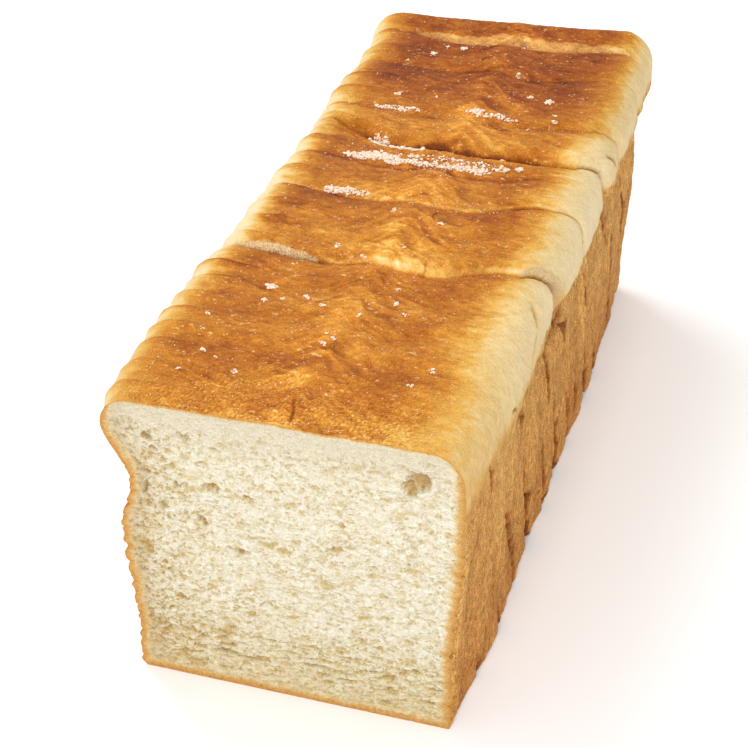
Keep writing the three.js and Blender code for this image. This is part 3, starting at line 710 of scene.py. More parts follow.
def closed_grid(outer, inner):
    """Points and faces of a solid between a fine grid and a coarse one that lies behind it. Each
    coarse border step is joined to its fine steps by a fan and one more triangle."""
    shapes = [grid.shape[1:] for grid in (outer, inner)]
    points = np.concatenate([grid.reshape(3, -1).T for grid in (outer, inner)])
    first = shapes[0][0] * shapes[0][1]
    quads = np.concatenate([grid_faces(*shapes[0]), grid_faces(*shapes[1], first)[:, ::-1]])
    fine, coarse = border(*shapes[0]), border(*shapes[1]) + first
    fan = np.repeat(coarse[:-1], COARSE)
    wall = np.stack([fine[:-1], fan, fine[1:]], -1)
    last = np.stack([fine[COARSE::COARSE], coarse[:-1], coarse[1:]], -1)
    return points, quads, np.concatenate([wall, last])[:, ::-1]


def grid_normals(grid):
    """Normals at a grid's points: the cross products of each quad's diagonals, summed at its
    four corners."""
    across = grid[:, 1:, 1:] - grid[:, :-1, :-1]
    other = grid[:, 1:, :-1] - grid[:, :-1, 1:]
    face = np.cross(other, across, axis=0)
    total = np.zeros(grid.shape)
    for i, j in itertools.product((0, 1), repeat=2):
        total[:, i:grid.shape[1] - 1 + i, j:grid.shape[2] - 1 + j] += face
    return total


def turned_outwards(outer, inner, facing, marks):
    """A piece from its outer and inner grids. Where the outer one's normals run against
    `facing`, the piece is inside out, and the two axes of its grids change places."""
    normals = grid_normals(outer)
    if (normals * facing).sum() < 0:
        outer, inner, normals = (grid.transpose(0, 2, 1) for grid in (outer, inner, -normals))
        marks = {mark: values.T for mark, values in marks.items()}
    return SimpleNamespace(outer=outer, inner=inner, normals=normals, marks=marks)


# %% Meshes from arrays
def add_mesh(name, points, quads, triangles, marks=None, normals=None):
    """A mesh object in place at the origin, in metres. Marks are numbers on its vertices."""
    mesh = bpy.data.meshes.new(name)
    mesh.vertices.add(len(points))
    mesh.vertices.foreach_set("co", ((points + SHIFT) * MM).astype(np.float32).ravel())
    corners = np.concatenate([np.ravel(quads), np.ravel(triangles)]).astype(np.int32)
    mesh.loops.add(len(corners))
    mesh.loops.foreach_set("vertex_index", corners)
    sizes = np.concatenate([np.full(len(quads), 4), np.full(len(triangles), 3)])
    mesh.polygons.add(len(sizes))
    starts = np.concatenate([[0], np.cumsum(sizes)[:-1]]).astype(np.int32)
    mesh.polygons.foreach_set("loop_start", starts)
    mesh.polygons.foreach_set("use_smooth", np.full(len(sizes), normals is not None))
    mesh.update(calc_edges=True)
    for mark, values in (marks or {}).items():
        full = np.zeros(len(points), np.float32)
        full[:values.size] = values.ravel()
        mesh.attributes.new(mark, "FLOAT", "POINT").data.foreach_set("value", full)
    if normals is not None:
        mesh.normals_split_custom_set_from_vertices(normals)
    piece = bpy.data.objects.new(name, mesh)
    bpy.context.scene.collection.objects.link(piece)
    count = 2 * len(quads) + len(triangles)
    print(f"{name}: {len(points)} vertices, {count} triangles")
    return piece


# %% Crust patches
def patch(x, y, z):
    """One patch of the skin and the coarse sheet behind it, drawn in along the normals; at the
    cut and at the foot the sheet also stands back, so that its rim stays hidden."""
    skin = baked_skin(x, y, z)
    behind = (skin.point - CRUST_THICKNESS * skin.normal)[:, ::COARSE, ::COARSE]
    behind[1] += np.where(skin.along[::COARSE, ::COARSE] <= 0, CRUST_THICKNESS, 0)
    behind[2] += np.where(skin.z[::COARSE, ::COARSE] <= 0.01, CRUST_THICKNESS, 0)
    return turned_outwards(skin.point, behind, skin.normal, skin.marks)


front, back = rows[:HALF_ROWS + 1], rows[HALF_ROWS:]
patches = {}
for half, places in (("front", front), ("back", back)):
    flat = np.meshgrid(columns, places, indexing="ij")
    upright = np.meshgrid(places, levels, indexing="ij")
    patches[f"crust_top_{half}"] = patch(flat[0], flat[1], HEIGHT)
    patches[f"crust_right_{half}"] = patch(HALF, *upright)
    patches[f"crust_left_{half}"] = patch(-HALF, *upright)
end = np.meshgrid(columns, levels, indexing="ij")
patches["crust_end"] = patch(end[0], LENGTH, end[1])
print("patches:", ", ".join(patches))


# %% [markdown]
# Patches that meet in a smooth surface must agree on its direction where they meet, or the seam
# shows as a line. So the normals of points that lie in the same place are added up over all
# patches before the meshes are made.

# %% Shared normals
def share_normals(pieces):
    """Adds up the normals of points at the same place (to a thousandth of a millimetre)."""
    everywhere = np.concatenate([p.outer.reshape(3, -1).T for p in pieces])
    directions = np.concatenate([p.normals.reshape(3, -1).T for p in pieces])
    _, which = np.unique(np.round(everywhere * 1000).astype(np.int64), axis=0, return_inverse=True)
    which = which.ravel()
    sums = np.stack([np.bincount(which, directions[:, k]) for k in range(3)], -1)
    sums = sums / np.linalg.norm(sums, axis=1, keepdims=True)
    shared = np.split(sums[which], np.cumsum([p.normals[0].size for p in pieces])[:-1])
    for p, normals in zip(pieces, shared):
        p.normals = normals


def make_piece(name, piece):
    """The closed mesh of a patch. Its inner sheet takes plain outward normals of its own."""
    points, quads, triangles = closed_grid(piece.outer, piece.inner)
    spare = np.tile([0.0, 0.0, 1.0], (len(points) - len(piece.normals), 1))
    normals = np.concatenate([piece.normals, spare])
    return add_mesh(name, points, quads, triangles, piece.marks, normals)


share_normals(list(patches.values()))
crust_pieces = [make_piece(name, piece) for name, piece in patches.items()]

# %% [markdown]
# ## The base
# The base lay on the bottom of the tin. Steam under it left it slightly hollow and rough, with
# its edge touching the table all round. It is a surface stretched between the feet of the four
# walls, which the next function does for any four edges, lifted in the middle by the hollow.

# %% A surface between four edges
def stretched(left, right, near, far):
    """The surface between four curves: the mean along one way plus the mean along the other,
    less the one that the corners alone would give."""
    u = np.linspace(0, 1, near.shape[1])[None, :, None]
    v = np.linspace(0, 1, left.shape[1])[None, None, :]
    sides = (1 - u) * left[:, None, :] + u * right[:, None, :]
    ends = (1 - v) * near[:, :, None] + v * far[:, :, None]
    corners = (1 - u) * ((1 - v) * left[:, None, :1] + v * left[:, None, -1:])
    corners = corners + u * ((1 - v) * right[:, None, :1] + v * right[:, None, -1:])
    return sides + ends - corners


BASE_HOLLOW = np.array([  # place across, height of the hollow
    (-50, 0), (-40, 0.3), (-22, 0.5), (-12, 1.0), (0, 0.8), (14, 0.6), (28, 0.4), (38, 0.1),
]).T


def base_rise(x, y):
    """Height of the base over the table: a hollow that fades to the back, and rough patches of
    noise; nothing near the edges."""
    hollow = np.interp(x, *BASE_HOLLOW) * (0.3 + 0.7 * bell(y, 70))
    rough = 0.5 * noise(x / 7, y / 7, 0.0, 71) + 0.35 * noise(x / 2.2, y / 2.2, 0.0, 72)
    inside = ramp(HALF - 8 - np.abs(x), 0, 7) * ramp(LENGTH - 26 - y, 0, 8)
    indoors = ramp(y, 2, 16)
    return inside * (hollow * indoors + np.maximum(0.5 * indoors + rough - 0.08, 0))


foot_left, foot_right = (baked_skin(side, rows, 0.0).point for side in (-HALF, HALF))
foot_far = baked_skin(columns, LENGTH, 0.0).point
near = np.zeros((3, COLUMNS + 1))
near[0] = np.linspace(foot_left[0, 0], foot_right[0, 0], COLUMNS + 1)
near[2] = base_rise(near[0], near[1])
base = stretched(foot_left, foot_right, near * [[1], [1], [0]], foot_far)
base[2] = base_rise(base[0], base[1])
base = base[:, ::2 // SKETCH, ::2 // SKETCH]  # half as fine as the walls, because it is plainer
print(f"the base rises {base[2].max():.1f} mm at most")


# %% The base as a piece
BASE_NARROWING = 0.95
under = base[:, ::COARSE, ::COARSE].copy()
under[2] += CRUST_THICKNESS
under[0] *= BASE_NARROWING
under[1, :, 0] += CRUST_THICKNESS  # stands back from the cut, so that it stays hidden
bx, by, _ = base
coarse_mottle, fine_mottle = noise(bx / 8, by / 8, 0.0, 73), noise(bx / 2, by / 2, 0.0, 74)
pocks = noise(bx / 2.2, by / 2.2, 0.0, 72)
# the base's gap and relief marks: painted shade in its low pocks and painted light on the rises
base_piece = turned_outwards(base, under, np.reshape((0, 0, -1.0), (3, 1, 1)), {
    "brown": np.clip(0.62 + 0.10 * coarse_mottle + 0.12 * fine_mottle, 0, 1),
    "wall": np.ones(bx.shape), "bare": np.zeros(bx.shape),
    "gap": np.clip(0.5 - 0.6 * pocks, 0, 1) * 0.5, "relief_shading": 0.4 * pocks})
share_normals([base_piece])
crust_pieces.append(make_piece("crust_base", base_piece))

# %% [markdown]
# ## The crumb
# Slicing bread tears open thousands of gas cells. Each shows as a small pit with a soft, ragged
# wall, longer across the slice than up it, because the dough spread sideways as it rose. The
# pits could be drawn in the material alone, but the larger ones cast shadows, so three sizes of
# them are real pits in a fine grid: a foam whose cells are as deep as chance made them. Under
# the top crust the crumb is dense, and near the base it is torn in flat layers.

# %% Cells of one size
def cells_of(x, z, cell, stretch, tilt, seed):
    """A foam: one random point in each cell of a tilted, stretched grid. Returns how far inside
    a gas cell a place is, from the distances to its nearest and second nearest points (0 on the
    wall between two), and a random number from 0 to 1 for the cell."""
    across, up = turned(x, z, -math.radians(tilt))
    across, up = across / (cell * stretch), up / cell
    nearest, second, own = np.full(x.shape, 9.0), np.full(x.shape, 9.0), np.zeros(x.shape)
    for i, j in itertools.product((-1, 0, 1), repeat=2):
        column, row = np.floor(across) + i, np.floor(up) + j
        number = scramble(column, row, np.zeros_like(row), seed)
        one, two, three = (
            ((number >> np.uint32(bits)) & np.uint32(1023)) / 1023 for bits in (0, 10, 20))
        distance = np.hypot(across - column - one, up - row - two)
        closer = distance < nearest
        second = np.minimum(second, np.where(closer, nearest, distance))
        own = np.where(closer, three, own)
        nearest = np.minimum(nearest, distance)
    return second - nearest, own


# %% The large holes
HOLES = np.array([  # across, up, half width, half height, depth, tilt in degrees
    (50.5, 111.5, 3.9, 4.0, 3.6, 30), (46.9, 108.2, 2.4, 3.6, 3.0, 10),
    (47.0, 112.5, 1.5, 1.2, 2.0, 0), (-30.0, 77.6, 1.5, 2.6, 2.6, 25),
    (-25.0, 93.2, 3.6, 1.6, 2.4, 5), (-16.0, 66.3, 2.9, 1.4, 2.2, -5),
    (-33.5, 113.2, 2.6, 1.5, 2.2, -10), (-47.5, 110.8, 1.1, 2.3, 2.2, 45),
    (-45.4, 106.4, 1.3, 0.9, 2.4, 0), (-23.0, 110.0, 1.9, 1.0, 1.6, 0),
    (-12.0, 91.2, 1.9, 1.2, 1.8, -20), (-50.4, 88.0, 0.9, 3.8, 1.6, -12),
    (-44.8, 80.3, 0.9, 2.4, 1.5, -8), (53.0, 119.5, 3.0, 0.8, 1.2, -3),
    (44.5, 116.5, 2.2, 1.0, 1.2, 0), (-4.5, 116.7, 2.6, 0.8, 1.0, -4),
    (-27.0, 15.4, 4.5, 0.9, 2.4, -3), (-17.0, 14.2, 5.0, 0.8, 2.0, 2),
    (11.5, 17.4, 8.0, 0.7, 2.0, 1), (17.5, 13.2, 5.0, 0.8, 1.8, -2),
    (36.5, 19.6, 3.6, 0.9, 1.8, 4), (-32.0, 29.0, 2.6, 1.0, 1.4, 10),
    (-28.0, 24.4, 2.6, 0.9, 1.4, -6), (27.0, 35.0, 1.6, 1.1, 1.3, 0),
    (-41.0, 99.0, 2.4, 1.2, 1.3, 20), (-38.5, 92.0, 1.3, 1.8, 1.4, 60),
    (7.0, 61.0, 1.7, 1.0, 1.2, 0), (22.0, 87.0, 1.6, 0.9, 1.1, 8),
    (33.0, 70.0, 1.9, 1.0, 1.1, -8), (-8.0, 44.0, 1.9, 1.0, 1.2, 6),
])


def hole_depth(x, z):
    """Depth of the deepest hole at each point: an egg's, the root of 1 minus the squared
    distance from its middle, on lines that noise has bent."""
    wx = x + 0.7 * noise(x / 2.4, z / 2.4, 0.0, 81)
    wz = z + 0.7 * noise(x / 2.4, z / 2.4, 5.5, 81)
    deepest = np.zeros(x.shape)
    for at, up, wide, high, deep, tilt in HOLES:
        across, along = turned(wx - at, wz - up, -math.radians(tilt))
        inside = np.clip(1 - (across / wide) ** 2 - (along / high) ** 2, 0, 1)
        deepest = np.maximum(deepest, deep * np.sqrt(inside))
    return deepest


# %% Relief of the cut
CELL_SIZES = [  # height of a cell, stretch, tilt, how deep, share that is open, seed
    (3.4, 1.8, 7, 0.6, 0.055, 83), (1.8, 1.8, 5, 0.42, 0.26, 84), (1.0, 1.7, -4, 0.5, 0.85, 85),
]


def cut_relief(x, z, top_gap, foot_gap, left_gap):
    """Depth into the loaf: three sizes of gas cell, each cell as deep as its own number says,
    the holes, soft streaks that run across, and layers torn open near the base; little of any
    of them just under the top crust. Also how far in a pit each point lies."""
    bent_x = x + 1.0 * noise(x / 2.6, z / 2.0, 0.0, 82) + 0.3 * noise(x / 0.9, z / 0.9, 0.0, 80)
    bent_z = z + 0.8 * noise(x / 2.6, z / 2.0, 7.5, 82) + 0.3 * noise(x / 0.9, z / 0.9, 3.5, 80)
    loose = 0.3 + 0.7 * ramp(top_gap, 3, 12)
    torn_side = 1 + 0.7 * bell(left_gap, 20) + 0.4 * bell(foot_gap, 34)
    depth, pitted = np.zeros(x.shape), np.zeros(x.shape)
    for cell, stretch, tilt, deep, share, seed in CELL_SIZES:
        inside, own = cells_of(bent_x, bent_z, cell, stretch, tilt, seed)
        share = np.clip(share * loose * torn_side, 0, 1)
        own = np.clip((own - 1 + share) / share, 0, 1)
        opened = ramp(inside, 0.02, 0.4) * own
        depth = depth + deep * opened
        pitted = np.maximum(pitted, opened * min(1, 0.45 + deep / 2))
    streak = noise(x / 5.0, (z - 0.10 * x) / 1.4, 0.0, 86)
    fibre = noise(x / 1.6, z / 0.9, 0.0, 87)
    layers = noise(x / 8, (z - 0.06 * x) / 1.5, 0.0, 88)
    torn = ramp(layers, 0.1, 0.5) * window(foot_gap, 8, 24, 7) * ramp(left_gap, 8, 16)
    hole = hole_depth(x, z)
    depth = depth * loose * torn_side + 1.4 * torn + 0.26 * streak + 0.3 * fibre + hole
    pitted = loose * pitted * torn_side + 0.7 * torn + 0.3 * hole
    return depth, np.clip(pitted, 0, 1), streak + fibre


# %% [markdown]
# The cut face is stretched between the four edges of the crust at the cut, so the two always
# meet. Its outermost few millimetres are crust seen from its cut side: brown outside, fading to
# cream, and thicker at the walls and the base than on the top.

# %% The cut face
cut_left, cut_right = (baked_skin(side, 0.0, levels).point for side in (-HALF, HALF))
cut_top = baked_skin(columns, 0.0, HEIGHT).point
face = stretched(cut_left, cut_right, near, cut_top)
fx, _, fz = face
gap_left, gap_right = fx - cut_left[0], cut_right[0] - fx
gap_top, gap_foot = cut_top[2][:, None] - fz, fz - near[2][:, None]
gaps = gap_left, gap_right, gap_top, gap_foot
right_ring = np.interp(fz, (0, 30, 60, 80, 100), (6.0, 5.2, 5.0, 5.6, 4.5))
RING = 4.6, right_ring, 1.4, 5.2  # thickness of the crust beside each of the gaps
ring = np.zeros(fx.shape)
for number, (gap, thickness) in enumerate(zip(gaps, RING)):
    ragged = thickness * (1 + 0.35 * noise(fx / 4, fz / 4, number, 91))
    ring = np.maximum(ring, np.clip(1 - gap / ragged, 0, 1))
depth, pitted, streak = cut_relief(fx, fz, gap_top, gap_foot, gap_left)
crusty = (0.35 + 0.35 * ramp(-gap_foot, -6, -3)) * noise(fx / 1.3, fz / 1.3, 0.0, 92)
crusty = crusty * ramp(ring, 0.1, 0.5)
face[1] = depth * (1 - 0.7 * ramp(ring, 0.0, 0.5)) + crusty
face[1] *= ramp(np.minimum.reduce(gaps), 0, 0.9)  # the face meets the crust at its edges
print(f"pits are up to {face[1].max():.1f} mm deep, {100 * (pitted > 0.3).mean():.0f}% of the cut")

# %% [markdown]
# The crumb fills the crust, so its piece is not a thin sheet: behind the face its sides start
# just inside the crust and narrow to the back, near the far end of the loaf, so that they stay
# under even the deepest crease.

# %% The crumb as a piece
CRUMB_RIM, CRUMB_SIDE, CRUMB_END = 6.0, 4.5, 40.0  # behind the cut, inside the walls, to the end
CRUMB_NARROWING, MIDDLE_HEIGHT = 0.58, 62.0
behind = face[:, ::COARSE, ::COARSE].copy()
rim = np.ones(behind[0].shape, bool)
rim[1:-1, 1:-1] = False
shrink = np.where(rim, 1 - CRUMB_SIDE / MIDDLE_HEIGHT, CRUMB_NARROWING)
behind[0] *= shrink
behind[2] = MIDDLE_HEIGHT + (behind[2] - MIDDLE_HEIGHT) * shrink
behind[1] = np.where(rim, CRUMB_RIM, LENGTH - CRUMB_END)
crumb = turned_outwards(face, behind, np.reshape((0, -1.0, 0), (3, 1, 1)), {
    "pit": pitted, "ring": ring, "streak": streak, "left_painted_shade": bell(gap_left, 9),
    "foot_shade": bell(gap_foot, 22), "top_shade": bell(gap_top, 13)})
share_normals([crumb])
crumb_piece = make_piece("crumb", crumb)

# %% [markdown]
# ## Salt
# Coarse salt was strewn over the dough before baking. It stuck where it fell, gathered in the
# creases, and broke into flakes of one to four millimetres with fine grains between them. Each
# crystal is a dented twenty-sided stone, so hundreds of them stay light. A flake is a few
# crystals grown together, and each lies on the crust, whose height the skin's function gives.

# %% Where things lie on the crust
def on_crust(x, y):
    """Points of the crust over places on the plan. The row that ends up at y started in front
    of it by its bend, which two rounds of stepping back find."""
    along = y - row_bend(y, x)
    for _ in range(2):
        along = y - row_bend(along, x)
    return baked_skin(x, along, HEIGHT).point


# %% Crystals
GOLDEN = (1 + math.sqrt(5)) / 2
CRYSTAL = np.array([
    (-1, GOLDEN, 0), (1, GOLDEN, 0), (-1, -GOLDEN, 0), (1, -GOLDEN, 0), (0, -1, GOLDEN),
    (0, 1, GOLDEN), (0, -1, -GOLDEN), (0, 1, -GOLDEN), (GOLDEN, 0, -1), (GOLDEN, 0, 1),
    (-GOLDEN, 0, -1), (-GOLDEN, 0, 1),
]) / math.hypot(1, GOLDEN)
CRYSTAL_FACES = np.array([
    (0, 11, 5), (0, 5, 1), (0, 1, 7), (0, 7, 10), (0, 10, 11), (1, 5, 9), (5, 11, 4), (11, 10, 2),
    (10, 7, 6), (7, 1, 8), (3, 9, 4), (3, 4, 2), (3, 2, 6), (3, 6, 8), (3, 8, 9), (4, 9, 5),
    (2, 4, 11), (6, 2, 10), (8, 6, 7), (9, 8, 1),
])


def crystals(centres, sizes, draw):
    """Points and faces of many crystals. Each has its corners moved in or out, is flattened,
    tilted a little and turned; all of them at once, one array axis for the crystal."""
    count = len(centres)
    dents = draw.uniform(0.5, 1.25, (count, 12, 1))
    wide, high = sizes * draw.uniform(0.4, 0.95, count), sizes * draw.uniform(0.3, 0.7, count)
    body = CRYSTAL[None] * dents * np.stack([sizes, wide, high], -1)[:, None, :]
    tilt, turn = draw.uniform(-0.5, 0.5, (count, 1)), draw.uniform(0, 2 * math.pi, (count, 1))
    bx, by, bz = np.moveaxis(body, -1, 0)
    by, bz = turned(by, bz, tilt)
    bx, by = turned(bx, by, turn)
    points = np.stack([bx, by, bz], -1) + centres[:, None, :]
    faces = CRYSTAL_FACES[None] + 12 * np.arange(count)[:, None, None]
    return points.reshape(-1, 3), np.zeros((0, 4), int), faces.reshape(-1, 3)


# %% Flakes at listed places
FLAKES = np.array([  # across, along, width, length
    (-30, 70, 2.4, 3.5), (-46, 56, 1.8, 2.5), (-31, 80, 4.4, 3.4), (-24, 25, 2.2, 3),
    (-8, 72, 2.5, 2), (7, 69, 1.5, 3), (-17, 114, 2.4, 4), (-5.5, 110.5, 2.6, 2), (-4, 144, 2, 4),
    (17, 138, 3, 1.5), (0, 49, 2.5, 2), (3, 52.5, 2.5, 2), (0, 55, 2, 1.6), (-39, 33, 3, 1.5),
    (-33, 31, 2, 1.5), (-44, 46, 2, 1.5), (42, 44, 2.5, 1.8), (23, 74, 2, 1.6),
    (37, 33, 2.5, 1.6), (12, 21, 2, 1.4), (-43, 22, 2.5, 1.4), (8, 119, 2, 1.6), (17, 81, 2, 3),
    (15, 90, 1.5, 3), (-24, 73, 2, 1.6), (-16, 76, 3, 2), (12.5, 275, 2.5, 3.5), (33, 249, 4, 3),
    (38, 238, 2.5, 2), (39, 234, 2.5, 2), (-30, 286, 3, 5), (-33, 241, 3, 2), (-18, 295, 3, 4),
    (-26, 295, 2, 3), (8, 303, 2, 3), (-40, 278, 2, 1.6), (26, 198, 2, 3), (24, 252, 3, 2),
    (-16, 243, 2, 1.6), (29, 228, 2, 1.6), (-28, 97, 2, 1.4), (4, 234, 4, 3), (30, 189, 3, 2),
    (35, 190, 3, 4), (27, 192, 2, 2),
])
FLAKE_BEDS = np.array([  # middle across, along, half width, half length, crystals per mm2
    (-33, 155.3, 3.6, 1.6, 4), (-27, 155.2, 4, 1.7, 4), (-21, 154.8, 3, 1.2, 3.5),
    (-37, 186.6, 2.5, 1.2, 3), (-31, 186.2, 4.4, 2.4, 5), (-24.5, 186.6, 4.6, 2.6, 5),
    (-17, 185.2, 5, 2.1, 5), (-8, 186, 6, 1.4, 4), (2, 186.2, 6, 1.2, 2.5),
    (12, 185.2, 5, 1.8, 2.5), (19, 184.4, 5, 2.0, 3.5), (27.5, 187, 3, 0.9, 2),
    (35, 189.7, 1.5, 0.8, 2.5), (-33, 207.6, 2.6, 2.2, 5), (-29, 205.0, 3.4, 2.6, 5),
    (-24.5, 201.6, 3.8, 2.4, 5), (-18, 197.8, 4.8, 2.0, 5), (-12, 197.2, 4, 1.3, 4),
    (-28, 199.6, 4, 1.6, 4), (-34, 231.5, 6, 1.0, 3), (-25, 230.6, 6, 1.1, 3),
    (4, 234.2, 4, 1.4, 3.5), (11, 232.2, 6, 0.9, 2.5), (19, 231, 5, 0.8, 2),
    (0, 189, 32, 5.0, 0.4),
])
draw = np.random.default_rng(5)


def scattered(middles, halves, counts, draw):
    """Random places within ellipses: an even angle, and the root of an even number outwards."""
    owner = np.repeat(np.arange(len(counts)), counts)
    way, reach = draw.uniform(0, 2 * math.pi, owner.size), np.sqrt(draw.uniform(0, 1, owner.size))
    outwards = np.stack([reach * np.cos(way), reach * np.sin(way)], -1)
    return middles[owner] + halves[owner] * outwards, owner, reach


in_flake = np.clip((FLAKES[:, 2] * FLAKES[:, 3] * 1.5).round().astype(int), 4, 26)
in_bed = (math.pi * FLAKE_BEDS[:, 2] * FLAKE_BEDS[:, 3] * FLAKE_BEDS[:, 4]).round().astype(int)
flake_place, owner, reach = scattered(FLAKES[:, :2], FLAKES[:, 2:] / 2, in_flake, draw)
flake_size = draw.uniform(0.55, 1.0, owner.size) * np.clip(FLAKES[owner, 2] / 3, 0.75, 1.2)
flake_size = flake_size * (1.25 - 0.5 * reach)
bed_place, _, _ = scattered(FLAKE_BEDS[:, :2], FLAKE_BEDS[:, 2:4], in_bed, draw)
bed_size = 0.32 + 0.8 * draw.uniform(0, 1, len(bed_place)) ** 1.8
flake_place, flake_size = np.concatenate([flake_place, bed_place]), np.append(flake_size, bed_size)
flake_centre = on_crust(*flake_place.T).T
flake_centre[:, 2] += flake_size * draw.uniform(0.05, 0.6, flake_size.size)
salt_flakes = add_mesh("salt_flakes", *crystals(flake_centre, flake_size, draw))

# %% Fine grains
GRAIN_FIELDS = np.array([  # middle across, along, spread across, spread along, number of grains
    (-2, 60, 26, 30, 260), (0, 160, 30, 60, 260), (-4, 190, 22, 7, 460), (-5, 250, 26, 40, 240),
    (0, 155, 32, 1.2, 190), (6, 109.5, 26, 1.4, 140), (0, 230, 30, 1.3, 120),
    (0, 14, 32, 12, 260),
])
fields = np.repeat(GRAIN_FIELDS[:, :4], GRAIN_FIELDS[:, 4].astype(int), axis=0)
grain_place = draw.normal(fields[:, :2], fields[:, 2:])
grain_place = np.clip(grain_place, (-52, 2), (52, 318))
grain_size = 0.13 + 0.24 * draw.uniform(0, 1, len(fields)) ** 2
grain_centre = on_crust(*grain_place.T).T
grain_centre[:, 2] += 0.3 * grain_size
salt_grains = add_mesh("salt_grains", *crystals(grain_centre, grain_size, draw))

# %% [markdown]
# ## Materials
# Colours are written as painters' hex values, which are made for screens, so one function turns
# them to the linear light that Blender mixes. Another adds any node with its settings and
# links, and hands back the socket that the next node reads. Scales come from sizes in
# millimetres: a pattern with hills S mm apart has 1000 / S of them in a metre.

# %% Helpers for materials
def linear(hex_value):
    """Linear red, green and blue of an sRGB hex value: the low part straight, the rest a
    power of 2.4."""
    channels = np.array([int(hex_value[i:i + 2], 16) for i in (1, 3, 5)]) / 255
    low = channels <= 0.04045
    return (*np.where(low, channels / 12.92, ((channels + 0.055) / 1.055) ** 2.4), 1.0)


def add(tree, kind, inputs=None, out=0, **settings):
    """One node: settings on the node, `stops` as a colour ramp's colours, and for each input
    a link if it is given a socket, or else a value. Returns the output that `out` names."""
    node = tree.nodes.new("ShaderNode" + kind)
    for number, (place, colour) in enumerate(settings.pop("stops", ())):
        elements = node.color_ramp.elements
        stop = elements[number] if number < 2 else elements.new(place)
        stop.position, stop.color = place, linear(colour)
    for setting, value in settings.items():
        setattr(node, setting, value)
    for name, value in (inputs or {}).items():
        if isinstance(value, bpy.types.NodeSocket):
            tree.links.new(value, node.inputs[name])
        else:
            node.inputs[name].default_value = value
    return node.outputs[out] if node.outputs else None


def new_material(name):
    """A material and its tree, emptied of nodes."""
    material = bpy.data.materials.new(name)
    material.use_nodes = True
    material.node_tree.nodes.clear()
    return material, material.node_tree


def pattern(tree, place, stretch, size, detail=3):
    """Noise about 0 with hills `size` mm apart, drawn out by `stretch` along each axis."""
    drawn_out = add(tree, "Mapping", {"Vector": place, "Scale": tuple(1 / s for s in stretch)})
    hills = add(tree, "TexNoise", {
        "Vector": drawn_out, "Scale": 1 / (size * MM), "Detail": detail, "Roughness": 0.7})
    return add(tree, "Math", {0: hills, 1: 0.5}, operation="SUBTRACT")


# %% [markdown]
# ### Baked crust
# Crust is dough that dried and browned: a thin satin film on the cap, where the sugars melted,
# and a duller, scuffed skin on the walls, where it lay on greased tin. The browning on the
# vertices gives the large pattern. Noise of a few tenths of a millimetre adds the flecks, and
# also the fine bumps, drawn across the loaf on the cap and upright on the walls. The colour also
# carries painted shade in the slits, cracks, grooves and pits, and painted light on raised
# relief, where it follows the same noise as the bumps.

# %% Baked crust
CAP_COLOURS = [
    (0.0, "#F0DAAC"), (0.12, "#E9CB8E"), (0.25, "#DEAA4E"), (0.40, "#C78228"), (0.55, "#B36A1B"),
    (0.70, "#9C5010"), (0.85, "#80390A"), (1.0, "#5A2207")]
WALL_COLOURS = [
    (0.0, "#E8C48A"), (0.2, "#D9A559"), (0.4, "#C78A45"), (0.6, "#AF6C2E"), (0.8, "#8A4A1D"),
    (1.0, "#5E2C12")]
COLOURS = {"data_type": "RGBA", "out": 2}  # for a Mix node: its colours come out third
crust_material, tree = new_material("baked_crust")
place = add(tree, "TexCoord", out="Object")
brown, wall, bare, gap, relief_shading = (
    add(tree, "Attribute", out="Fac", attribute_name=mark)
    for mark in ("brown", "wall", "bare", "gap", "relief_shading"))
wrinkles = pattern(tree, place, (3, 1, 3), 1.1)
striations = pattern(tree, place, (1, 1, 3), 1.3)
grain = add(tree, "Mix", {0: wall, 2: wrinkles, 3: striations})
specks = pattern(tree, place, (1, 1, 1), 0.6)
mottle = pattern(tree, place, (1.6, 1, 1.6), 3.2)
crumbs = pattern(tree, place, (1.5, 1, 1.5), 1.6, 1)

# %% Colour of the crust
browned = brown
for part, share in ((mottle, 0.22), (grain, 0.12)):
    browned = add(tree, "Math", {0: part, 1: share, 2: browned}, operation="MULTIPLY_ADD")
cap_colour, wall_colour = (
    add(tree, "ValToRGB", {"Fac": browned}, stops=stops) for stops in (CAP_COLOURS, WALL_COLOURS))
skin_colour = add(tree, "Mix", {0: wall, 6: cap_colour, 7: wall_colour}, **COLOURS)
on_cap = add(tree, "Math", {0: 1.0, 1: wall}, operation="SUBTRACT")
dusty = add(tree, "MapRange", {"Value": crumbs, "From Min": 0.15, "From Max": 0.24, "To Max": 0.45})
dust = add(tree, "Math", {0: dusty, 1: on_cap}, operation="MULTIPLY")
tan_share = add(tree, "Math", {0: specks, 1: 0.5})
crumb_tan = add(tree, "ValToRGB", {"Fac": tan_share}, stops=[(0.35, "#CDAF80"), (0.65, "#EAD4A6")])
# painted shade: gaps and grooves are mixed towards dark brown
gap_shade = add(tree, "Math", {0: gap, 1: 0.74}, operation="MULTIPLY")
for share, colour in ((dust, linear("#EFCB90")), (bare, crumb_tan), (gap_shade, linear("#6E3818"))):
    skin_colour = add(tree, "Mix", {0: share, 6: skin_colour, 7: colour}, **COLOURS)
